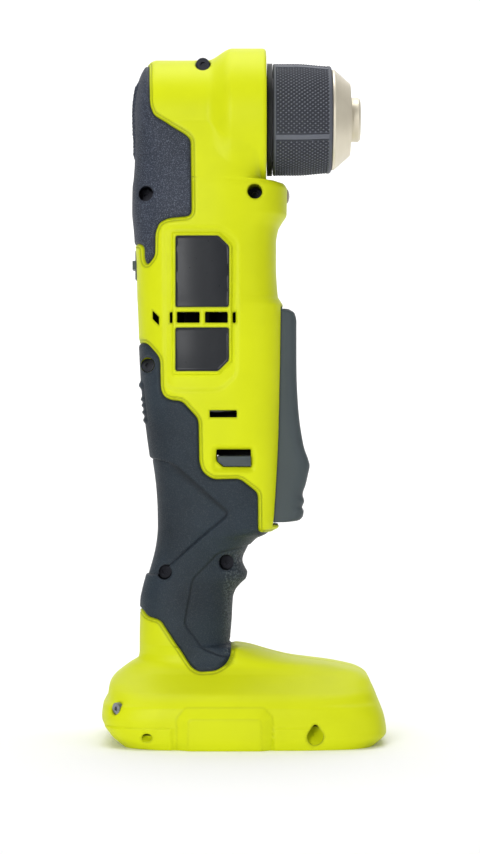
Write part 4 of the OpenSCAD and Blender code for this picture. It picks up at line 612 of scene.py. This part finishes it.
def grip_relief(x, y, z, rear, on_grip):
    """Sunk palm and finger panels with lines round them, and knobs and ribs at the back.

    The palm's wide upper slope and the lines get painted shade. The last result marks the dotted patch.
    """
    palm, fingers = inside(x, z, PALM), inside(x, z, FINGERS)
    slant = on_grip * step(z, SLOPE_Z, 4) * step(x, SLOPE_X, 6)
    sunk = PALM_DEEP * step(palm, -0.4, 1 + 1.6 * slant) + FINGERS_DEEP * step(fingers, -0.5, 1)
    insert = near(x - x.min(axis=1, keepdims=True) - 1.3, 0.55)
    insert = insert * step(z, INSERT_LOW, 1.5) * below(z, INSERT_HIGH, 1)
    line = on_grip * np.max([near(fingers, 0.7), near(palm - 0.4, 0.6), insert], axis=0)
    # Painted shade: a dark band down the palm's sloping upper edge.
    shade = slant * step(palm, -0.2, 0.6) * (1 - step(palm, 0.6, 3.2 - 1.9 * step(x, -26, 20)))
    wave = np.cos(2 * np.pi * z / KNOB_PITCH) * np.cos(2 * np.pi * y / KNOB_PITCH)
    knobs = KNOB_TALL * step(wave, 0, 0.9) * below(np.abs(y), KNOBS_HALF, 3)
    knobs = knobs * step(z, KNOBS_LOW, 3) * below(z, KNOBS_HIGH, 3)
    ribs = sum(tall * near(z - at, high) for at, high, tall in BACK_RIBS) * below(np.abs(y), RIBS_HALF, 3)
    out = on_grip * (rear * (knobs + ribs) - sunk) - LINE_DEEP * line
    return out, 0.7 * line + 0.95 * shade, step(x, -9, 3) * step(fingers, 0, 2)

# %% Relief of the foot, and the whole relief
BLOCK_TALL, BLOCK_BEVEL, LEDGE_TALL, DISH_DEEP = 2.3, 4.3, 0.8, 1.2


def foot_relief(x, y, z, flank):
    """The bevelled block on the foot's side, painted shade on its creases, and the ledges before and behind
    it.
    """
    block = inside(x, z, BLOCK)
    ledge = np.where(x < 0, np.minimum(8.1 - z, -27 - x), np.minimum(8.3 - z, x - 10.9))
    out = flank * BLOCK_TALL * np.clip(block / BLOCK_BEVEL, 0, 1)
    out += LEDGE_TALL * step(ledge, -0.3, 0.6) * step(np.abs(y), 20, 8) * below(x, 31, 8)
    return out, flank * np.maximum(near(block, 0.7), 0.7 * near(block - BLOCK_BEVEL, 0.7))


def relief(p, n, grip, plate, cut, right):
    """How far each point moves out, in millimetres, as a sum of eased steps, with its painted shade and dots.
    """
    x, y, z = np.moveaxis(p, -1, 0)
    flank, rear = step(-n[..., 1], 0.35, 0.3), step(-n[..., 0], 0.55, 0.25)
    out, groove, painted_shade = border_relief(y, z, grip, cut)
    if right:
        out += flank * label_relief(x, z, plate)
        # Painted shade along the plates' border too.
        groove = np.maximum(groove, near(plate, 0.5))
    out -= flank * DISH_DEEP * step(inside(x, z, DISH), 0, 2.2)
    on_grip, shaded, finger = grip_relief(x, y, z, rear, step(grip, 0, 0.8))
    on_foot, crease = foot_relief(x, y, z, flank)
    return out + on_grip + on_foot, np.clip(groove + painted_shade + shaded + 0.22 * crease, 0, 1), finger

# %% [markdown]
# ## Cutting the sheet into pieces
# Each cell of the grid goes to the shell, a grip or a plate by the sign of its mean distances, and
# cells inside an opening are left out. Where a border crosses a cell from corner to corner, the
# cell is split there. Along the rim of an opening a strip of quads makes the wall.

# %% Handing out the cells
SHELL, HANDLE, PLATE, GONE, HEAD = range(5)
SIDES = ((True, "right"), (False, "left"))
# A point this near to a border lies on it. The grips part at a level, and the plates lie beyond a width.
ON_BORDER, GRIPS_PART_Z, PLATES_Y = 0.03, 170, -12


def split_cells(shape, fields):
    """Cells as quads, or as two triangles along the diagonal that lies on a border."""
    corner = grid_faces(*shape)
    kind = np.zeros(len(corner), int)
    for f in fields:
        v = f.ravel()[corner]
        v = np.where(np.abs(v) < ON_BORDER, 0, v)
        mixed = (v.max(1) > 0) & (v.min(1) < 0)
        second = np.abs(v[:, [1, 3]]).sum(1) < np.abs(v[:, [0, 2]]).sum(1)
        kind = np.where(mixed, np.where(second, 2, 1), kind)
    one, two = corner[kind == 1], corner[kind == 2]
    tris = join([one[:, [0, 1, 2]], one[:, [0, 2, 3]], two[:, [0, 1, 3]], two[:, [1, 2, 3]]])
    return [corner[kind == 0], tris]


def side_pieces(right):
    """Builds one side: pulls the borders tight, adds the relief, and hands out the cells."""
    def drawn(q, *outlines):
        return np.max([inside(q[..., 0], q[..., 2], outline) for outline in outlines], axis=0)

    def grips(q):
        return drawn(q, HEAD_GRIP, HANDLE_GRIP)

    def plates(q, *outlines):
        return np.where((q[..., 1] < PLATES_Y) & right, drawn(q, *outlines), FAR)

    p = pull(grid, grips(grid) + LIP)
    p = pull(p, grips(p))
    p = pull(p, plates(p, FRAME))
    p = pull(p, plates(p, UPPER_PLATE, LOWER_PLATE))
    p = pull(p, openings(p, right)[0].max(axis=0))
    grip, plate = grips(p), plates(p, UPPER_PLATE, LOWER_PLATE)
    depths, ends = openings(p, right)
    cut, which = depths.max(axis=0), depths.argmax(axis=0)
    ends = np.take_along_axis(ends, which[None, ..., None], axis=0)[0]
    n = normals(p)
    out, groove, finger = relief(p, n, grip, plate, cut, right)
    shown = p + n * out[..., None]
    shown[..., 2] = np.maximum(shown[..., 2], 0)
    shown = shown.reshape(-1, 3)
    faces = split_cells(grip.shape, (grip, plate, cut))
    owner = []
    for f in faces:
        in_grip, in_plate, in_cut = (field.ravel()[f].mean(1) > 0 for field in (grip, plate, cut))
        either = np.where(shown[f, 2].mean(1) > GRIPS_PART_Z, HEAD, HANDLE)
        owner.append(np.where(in_cut, GONE, np.where(in_grip, either, np.where(in_plate, PLATE, SHELL))))
    return shown, ends.reshape(-1, 3), faces, owner, groove.ravel(), finger.ravel()

# %% Shell, grips and plates
# Painted shade on the walls inside the openings.
WALL_SHADE = 0.8
SIDE_PIECES = (
    (SHELL, "shell", "housing", lime_plastic, "lime_shell"),
    (HEAD, "head_grip_skin", "head_grip", coarse_rubber, "soft_grip"),
    (HANDLE, "handle_grip_skin", "handle_grip", slate_rubber, "soft_grip"),
    (PLATE, "plate_skin", None, plate_film, "label"),
)


def edges_of(faces):
    """Every face's edges in the order they are walked."""
    return join([np.stack([f, np.roll(f, -1, 1)], -1).reshape(-1, 2) for f in faces])


def cut_out(side, wanted, right):
    """The points and faces of one owner, with walls along the rims that it shares with an opening."""
    points, ends, faces, owner, groove, finger = side
    mine = [f[o == wanted] for f, o in zip(faces, owner)]
    gone = edges_of([f[o == GONE] for f, o in zip(faces, owner)])
    walk = edges_of(mine)
    big = len(points)
    rim = walk[np.isin(walk.min(1) * big + walk.max(1), gone.min(1) * big + gone.max(1))]
    wall = np.stack([rim[:, 1], rim[:, 0], rim[:, 0] + big, rim[:, 1] + big], -1)
    mine[0] = join([mine[0], wall])
    used = np.unique(join([f.ravel() for f in mine]))
    where = np.zeros(2 * big, int)
    where[used] = np.arange(len(used))
    spots = join([points, ends])[used] * (1, 1 if right else -1, 1)
    marks = {"groove": join([groove, np.full(big, WALL_SHADE)])[used],
             "finger": join([finger, np.zeros(big)])[used]}
    return spots, [where[f] if right else where[f][:, ::-1] for f in mine if len(f)], marks


lowest = {}
for right, word in SIDES:
    side = side_pieces(right)
    lowest[right] = side[0][:ACROSS]
    for wanted, name, node, material, slot in SIDE_PIECES:
        if wanted == PLATE and not right:
            continue
        spots, faces, marks = cut_out(side, wanted, right)
        stands_for = ["label_plates"] if wanted == PLATE else [f"{word}_{node}"]
        add_piece(f"{word}_{name}", spots, faces, material, "housing", slot, stands_for, marks)

# %% [markdown]
# ## The underside and the battery socket
# Below, the shell closes with a flat floor that has the battery's socket in it. The floor is a
# ruled sheet: straight lines from the shell's lowest slice to the socket's rectangle, carried on up
# the socket's walls.

# %% The floor of the foot
SOCKET = np.array([(-35, 0, 0), (-35, -10.5, 0), (-10, -10.5, 0), (-10, 0, 0)])
SOCKET_TOP, FLOOR_ROWS, WALL_ROWS = 50, 22, 9


def foot_floor(right):
    """Lines from the lowest slice to the socket's rim, then up its walls, then across its roof."""
    run = join([[0], np.cumsum(np.linalg.norm(np.diff(SOCKET, axis=0), axis=1))])
    at = np.linspace(0, run[-1], ACROSS)
    hole = np.stack([np.interp(at, run, part) for part in SOCKET.T], axis=-1)
    t = np.linspace(0, 1, FLOOR_ROWS)[:, None, None]
    up = np.linspace(0, SOCKET_TOP, WALL_ROWS)[1:, None, None] * (0, 0, 1)
    roof = hole * (1, 0, 1) + (0, 0, SOCKET_TOP)
    p = join([lowest[right] * (1 - t) + hole * t, hole + up, roof[None]])
    return sheet(*np.moveaxis(p * (1, 1 if right else -1, 1), -1, 0), flip=right)


for right, word in SIDES:
    add_piece(f"{word}_foot_floor", *foot_floor(right), lime_plastic, "housing", "lime_shell")

# %% [markdown]
# ## Inside the openings
# Dark sheets of black plastic in the middle plane are painted shade: they stand where the hollow
# body would show through the slots, each drawn as one flat plate. The two recesses low on the foot
# have a floor that slopes inwards from their lower edge, as a tool that opens on a slant leaves it.
# The screw well in the handle's grip is lined with the shell's own plastic.

# %% Dark sheets, recess floors and the lined screw well
# Back, front, lowest and highest place of each dark sheet, and half its thickness.
SHADE_SHEETS, SHEET_HALF = {"body_shade_sheet": (-33, 8, 110.05, 126.75), "back_shade_sheet": (-40.3, -31.9, 156, 168)}, 0.5
# Middle, half width, lowest and highest level and depth of each recess, behind the foot's side.
RECESSES = {"front_recess_floor": (TEAR_X, 3.3, 1.8, 8.2, 5.5),
            "back_recess_floor": (HOLE_X, 1.9, 3.2, 5.2, 2.5)}
FOOT_SIDE_Y, LINER_R, LINER_UNDER = 37.4, 2.75, 1.4


def shade_sheet(x0, x1, z0, z1):
    """A closed ring of four corners carried across the sheet's thickness, with both faces filled."""
    ring = (x0, z0), (x1, z0), (x1, z1), (x0, z1)
    spots = np.array([(x, y, z) for y in (-SHEET_HALF, SHEET_HALF) for x, z in ring])
    return spots, [grid_faces(2, 4, around=True), np.array([(0, 1, 2, 3), (7, 6, 5, 4)])]


def sloping_floor(centre_x, half, low, high, depth):
    """Straight lines across the recess, each further in than the last by an eased share of the depth."""
    t = np.linspace(0, 1, 14)[:, None]
    across = np.linspace(-1, 1, 9)
    hollow = 0.5 * (1 - across ** 2)
    y = -FOOT_SIDE_Y + 0.4 + depth * ease(0.15 + 0.85 * t) + hollow
    return sheet(centre_x + half * across, y, low + (high - low) * t)


def well_liner(x, z, inner):
    """A circle carried along Y, facing inwards, from a little under the housing's surface to the screw."""
    a = np.linspace(0, 2 * np.pi, 40, endpoint=False)
    skin = slices(np.array([z]), 400)[0, :200]
    x = x + LINER_R * np.cos(a)
    outer = np.interp(x, skin[:, 0], skin[:, 1]) - LINER_UNDER
    y = -(inner + np.clip(outer - inner, 0, None) * np.linspace(1, 0, 4)[:, None])
    return sheet(x, y, z + LINER_R * np.sin(a), around=True, flip=True)


# Painted shade: black sheets stand where the slots would show the hollow inside.
for name, area in SHADE_SHEETS.items():
    add_piece(name, *shade_sheet(*area), black_plastic, "housing", "black_plastic")
for name, area in RECESSES.items():
    add_piece(name, *sloping_floor(*area), lime_plastic, "housing", "lime_shell")
add_piece("grip_well_liner", *well_liner(*GRIP_SCREW), lime_plastic, "housing", "lime_shell")

# %% [markdown]
# ## The paddle trigger
# The long paddle is a lever that is hung at its top. Its front swells to a finger rest near the
# bottom, with two small ripples below. It is a section with rounded corners, carried down the
# paddle's height while its depth follows a measured profile.

# %% The paddle
PADDLE_Z, PADDLE_L, PADDLE_X, PADDLE_HALF, PADDLE_BACK, PADDLE_CORNER = 84.3, 82.3, 12.7, 12.7, 11.3, 5
# Height above the paddle's lower end, and how far its front stands out there.
PADDLE_PROFILE = np.array([
    (0, 4.6), (0.6, 8.6), (2.6, 10.2), (4.4, 10.4), (5.6, 9.8), (8.2, 10.6), (10.4, 10), (14.6, 11.2),
    (19, 12.2), (21.8, 12.7), (24, 12.2), (28.6, 10.6), (33.6, 9.6), (39, 8.8), (47, 8.1), (56, 7.7),
    (64, 7.6), (77.5, 7.6), (80.8, 6.8), (82.3, 4.6)])


def paddle_skin():
    """Rows over the height: a straight side, a corner rounded as a quarter oval, and a flat front."""
    z = join([[0], np.linspace(0, PADDLE_L, 210), [PADDLE_L]])
    front = PADDLE_X + gentle(z, PADDLE_PROFILE[:, 0], PADDLE_PROFILE[:, 1:])
    front[[0, -1]] = PADDLE_BACK + 0.1
    a = np.linspace(0, np.pi / 2, 14)
    edge = np.minimum(PADDLE_CORNER, front - PADDLE_BACK)
    side_x = PADDLE_BACK + (front - edge - PADDLE_BACK) * np.linspace(0, 1, 8)[:-1]
    half_x = join([side_x, front - edge * (1 - np.sin(a))], axis=1)
    half_y = join([np.full(side_x.shape[1], -PADDLE_HALF), -PADDLE_HALF + PADDLE_CORNER * (1 - np.cos(a))])
    flat_y = np.linspace(PADDLE_CORNER - PADDLE_HALF, PADDLE_HALF - PADDLE_CORNER, 18)[1:-1]
    x = join([half_x, front + 0 * flat_y, half_x[:, ::-1]], axis=1)
    return sheet(x, join([half_y, flat_y, -half_y[::-1]]), PADDLE_Z + z[:, None])


add_piece("paddle_skin", *paddle_skin(), slate_plastic, "paddle", "dark_plastic", ["trigger_paddle"])

# %% [markdown]
# ## The knurled sleeve
# A hand turns the sleeve to open the jaws. Its diamond knurl is two crossed sets of spiral grooves:
# the height at a point is the lower of two triangle waves, one for each set. Four plain bands with
# a pair of lines run along it.

# %% The sleeve
SLEEVE_BACK, SLEEVE_FRONT, SLEEVE_R, SLEEVE_BORE, SLEEVE_EDGE = 11.2, 33.9, 21.75, 19.4, 1
SLEEVE_TAPER, TAPER_START, TAPER_LENGTH = 0.95, 20, 14
KNURL_STARTS, KNURL_STEPS, KNURL_ROWS, KNURL_PITCH, KNURL_DEEP = 82, 8, 83, 2.05, 0.5
# Angle of the first plain band in degrees, half its width, its lines' place in it and their depth.
BAND_AT, BAND_HALF, BAND_LINE, BAND_LINE_DEEP, BAND_R = 25, 1.5, 1.25, 0.35, 21.5


def sleeve_skin():
    """Radius over angle and length: a tapered barrel minus the knurl, with rounded ends."""
    body_x = SLEEVE_BACK + 0.7 + np.arange(KNURL_ROWS) * KNURL_PITCH / KNURL_STEPS
    bend = np.linspace(0, np.pi / 2, 8)[1:]
    front_x = SLEEVE_FRONT - SLEEVE_EDGE * (1 - np.sin(bend))
    back_x = [SLEEVE_BACK, SLEEVE_BACK, SLEEVE_BACK + 0.15]
    x = join([back_x, body_x, front_x, [SLEEVE_FRONT]])[:, None]
    r = SLEEVE_R - SLEEVE_TAPER * step(x, TAPER_START, TAPER_LENGTH)
    r[:3, 0] = (SLEEVE_BORE, 21.2, 21.5)
    r[-8:-1, 0] -= SLEEVE_EDGE * (1 - np.cos(bend))
    r[-1] = SLEEVE_BORE
    turn = np.arange(KNURL_STARTS * KNURL_STEPS) / KNURL_STEPS
    angle = turn * 2 * np.pi / KNURL_STARTS
    along = (x - body_x[0]) / KNURL_PITCH
    peak = 2 * np.minimum(np.abs((turn + along) % 1 - 0.5), np.abs((turn - along) % 1 - 0.5))
    area = step(x, 12.1, 0.3) * below(x, 32.7, 0.3)
    off = np.abs((np.degrees(angle) - BAND_AT + 45) % 90 - 45) * BAND_R * np.pi / 180
    plain = 1 - step(off, BAND_HALF, 0.35)
    knurl = (1 - peak) * area * (1 - plain)
    lines = near(off - BAND_LINE, 0.4) * area
    radius = r - KNURL_DEEP * knurl - BAND_LINE_DEEP * lines
    # The sleeve is darkened all over, with painted shade in the knurl's grooves and the lines; the plain
    # bands are a little lighter.
    dark = np.clip(0.7 + lines - 0.2 * plain * area + (1.9 * knurl - 0.7) * area * (1 - plain), 0, 1)
    y, z = -radius * np.cos(angle), AXIS_Z - radius * np.sin(angle)
    return sheet(x, y, z, around=True, flip=True), {"groove": dark.ravel()}


skin, marks = sleeve_skin()
add_piece("sleeve_skin", *skin, sleeve_plastic, "sleeve", "dark_plastic", ["chuck_sleeve"], marks)

# %% [markdown]
# ## The direction selector
# One bar runs through the body and is pushed from either side. It is an outline swept along Y whose
# last rows shrink along a quarter circle, which rounds the end's edge.

# %% The selector bar
def swept_bar(outline, end, edge):
    """An outline in X and Z carried along Y, drawn in by a quarter circle at both ends and closed."""
    middle = outline.mean(0)
    reach = np.abs(outline - middle).max(0)
    a = np.linspace(0, np.pi / 2, 6)
    draw = join([[0], 1 - np.sin(a), [0], 1 - np.cos(a), [0]])
    y = join([[-end], edge * (1 - np.cos(a)) - end, [0], end - edge * (1 - np.sin(a)), [end]])
    size = 1 - draw[:, None] * (edge / reach)
    size[[0, -1]] = 0.001
    spots = middle + (outline - middle) * size[:, None]
    return sheet(spots[..., 0], y[:, None], spots[..., 1], around=True)


BAR = rounded([(-7.6, 106), (2.6, 106), (2.6, 110), (-10.2, 110), (-10.2, 108)], 0.5)
BAR_END, BAR_EDGE = 22.8, 0.6
add_piece("selector_skin", *swept_bar(BAR, BAR_END, BAR_EDGE), slate_plastic, "direction_bar",
          "dark_plastic", ["direction_selector"], sharp=50)

# %% [markdown]
# ## Finishes for the solids that stay
# The gears, bearings, jaws, screws and boards keep their exact shape from the drawing. Each gets
# the finish that its real counterpart has.

# %% Dress the solids
NODE_FINISH = {
    black_steel: ["housing_screws"],
    screw_steel: ["foot_screws", "paddle_pin", "paddle_spring", "chuck_screw", "motor_shaft"],
    nose_steel: ["chuck_nose"],
    gear_steel: ["bevel_gear", "bevel_pinion", "sun_pinion", "first_carrier", "second_carrier",
                 "fixed_ring_gear", "shift_ring", "spindle", "chuck_body", "chuck_nut",
                 *(f"{part}_{n}" for part in ("first_planet", "second_planet", "chuck_jaw") for n in "abc")],
    bearing_steel: ["motor_bearings", "pinion_bearing", "front_spindle_bearing", "back_spindle_bearing",
                    "bearing_clip"],
    lamination: ["stator_core", "rotor_core"],
    copper_winding: ["stator_coils"],
    cast_alloy: ["gear_case", "gearbox_back_plate", "gearbox_case", "motor_end_plate"],
    contact_brass: ["terminal_blades"],
    circuit_board: ["control_board", "lamp_board"],
    lens_plastic: ["lamp_lens"],
    black_plastic: ["chuck_back_ring", "terminal_block", "trigger_switch", "switch_plunger", "cooling_fan"],
    slate_plastic: ["speed_selector"],
}
for material, names in NODE_FINISH.items():
    for name in names:
        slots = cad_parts[name].data.materials
        slots.clear()
        slots.append(material)
print("solids dressed:", sum(len(names) for names in NODE_FINISH.values()))

# %% [markdown]
# ## Studio
# The drill stands on a white sweep: a floor that curves up into a wall, so no horizon shows. Large
# soft lamps stand in front, above and at the wall. The camera looks level along Y, as in the photograph.

# %% The sweep
FLOOR_FRONT, FLOOR_HALF, BEND_Y, BEND_R, WALL_TOP = -2500, 3000, 900, 600, 2600


def sweep_floor():
    """A floor carried back and bent up on a quarter circle into a wall."""
    a = np.linspace(0, np.pi / 2, 24)
    y = join([[FLOOR_FRONT, BEND_Y - 200], BEND_Y + BEND_R * np.sin(a), [BEND_Y + BEND_R]])
    z = join([[0, 0], BEND_R * (1 - np.cos(a)), [WALL_TOP]])
    return sheet(np.linspace(-FLOOR_HALF, FLOOR_HALF, 5), y[:, None], z[:, None])


paper = Finish("paper")
cloud = paper.noise(3, 2) * 0.1
paper.set(Base_Color=paper.blend(cloud, (250, 250, 250), (240, 240, 240)), Roughness=0.9)
spots, faces = sweep_floor()
mesh = bpy.data.meshes.new("studio_sweep")
mesh.from_pydata((spots * MM).tolist(), [], faces[0].tolist())
mesh.shade_smooth()
mesh.materials.append(paper.material)
floor = bpy.data.objects.new("studio_sweep", mesh)
scene.collection.objects.link(floor)
print("sweep made, faces:", len(faces[0]))

# %% Lamps and camera
WORLD_LIGHT = 0.24
# A pixel of the photograph in the tool's middle plane, its height in pixels, and the camera's place.
PIXEL, PHOTO_ROWS, EYE_X, DISTANCE, EYE_Z = 0.39, 854, -1.56, 900, 121


def lamp(name, spot, aim, size, power):
    """A square soft lamp at spot, in metres, that faces aim."""
    light = bpy.data.lights.new(name, "AREA")
    light.size, light.energy = size, power
    obj = bpy.data.objects.new(name, light)
    scene.collection.objects.link(obj)
    way = np.array(aim) - np.array(spot)
    obj.location = spot
    tilt = math.atan2(math.hypot(way[0], way[1]), -way[2])
    obj.rotation_euler = (tilt, 0, math.atan2(way[1], way[0]) - math.pi / 2)


lamp("key", (-0.45, -1.3, 0.42), (0, 0, 0.13), 0.5, 10)
lamp("fill", (0.95, -0.9, 0.5), (0, 0, 0.13), 0.9, 2.2)
lamp("top", (0, 0.1, 1.3), (0, 0, 0.1), 1.2, 1.2)
lamp("wall", (0, 0.4, 1.6), (0, 1.5, 0.4), 1.5, 26)
scene.world = scene.world or bpy.data.worlds.new("studio")
scene.world.use_nodes = True
sky = scene.world.node_tree.nodes["Background"].inputs
sky["Color"].default_value = (1, 1, 1, 1)
sky["Strength"].default_value = WORLD_LIGHT
scene.view_settings.view_transform = "Standard"

camera = bpy.data.cameras.new("camera")
camera.sensor_fit = "VERTICAL"
camera.angle = 2 * math.atan(PIXEL * PHOTO_ROWS / 2 / DISTANCE)
view = bpy.data.objects.new("camera", camera)
view.location = (EYE_X * MM, -DISTANCE * MM, EYE_Z * MM)
view.rotation_euler = (math.pi / 2, 0, 0)
scene.collection.objects.link(view)
bpy.context.scene.camera = view
print("lamps:", len(bpy.data.lights), "camera angle:", round(math.degrees(camera.angle), 2))
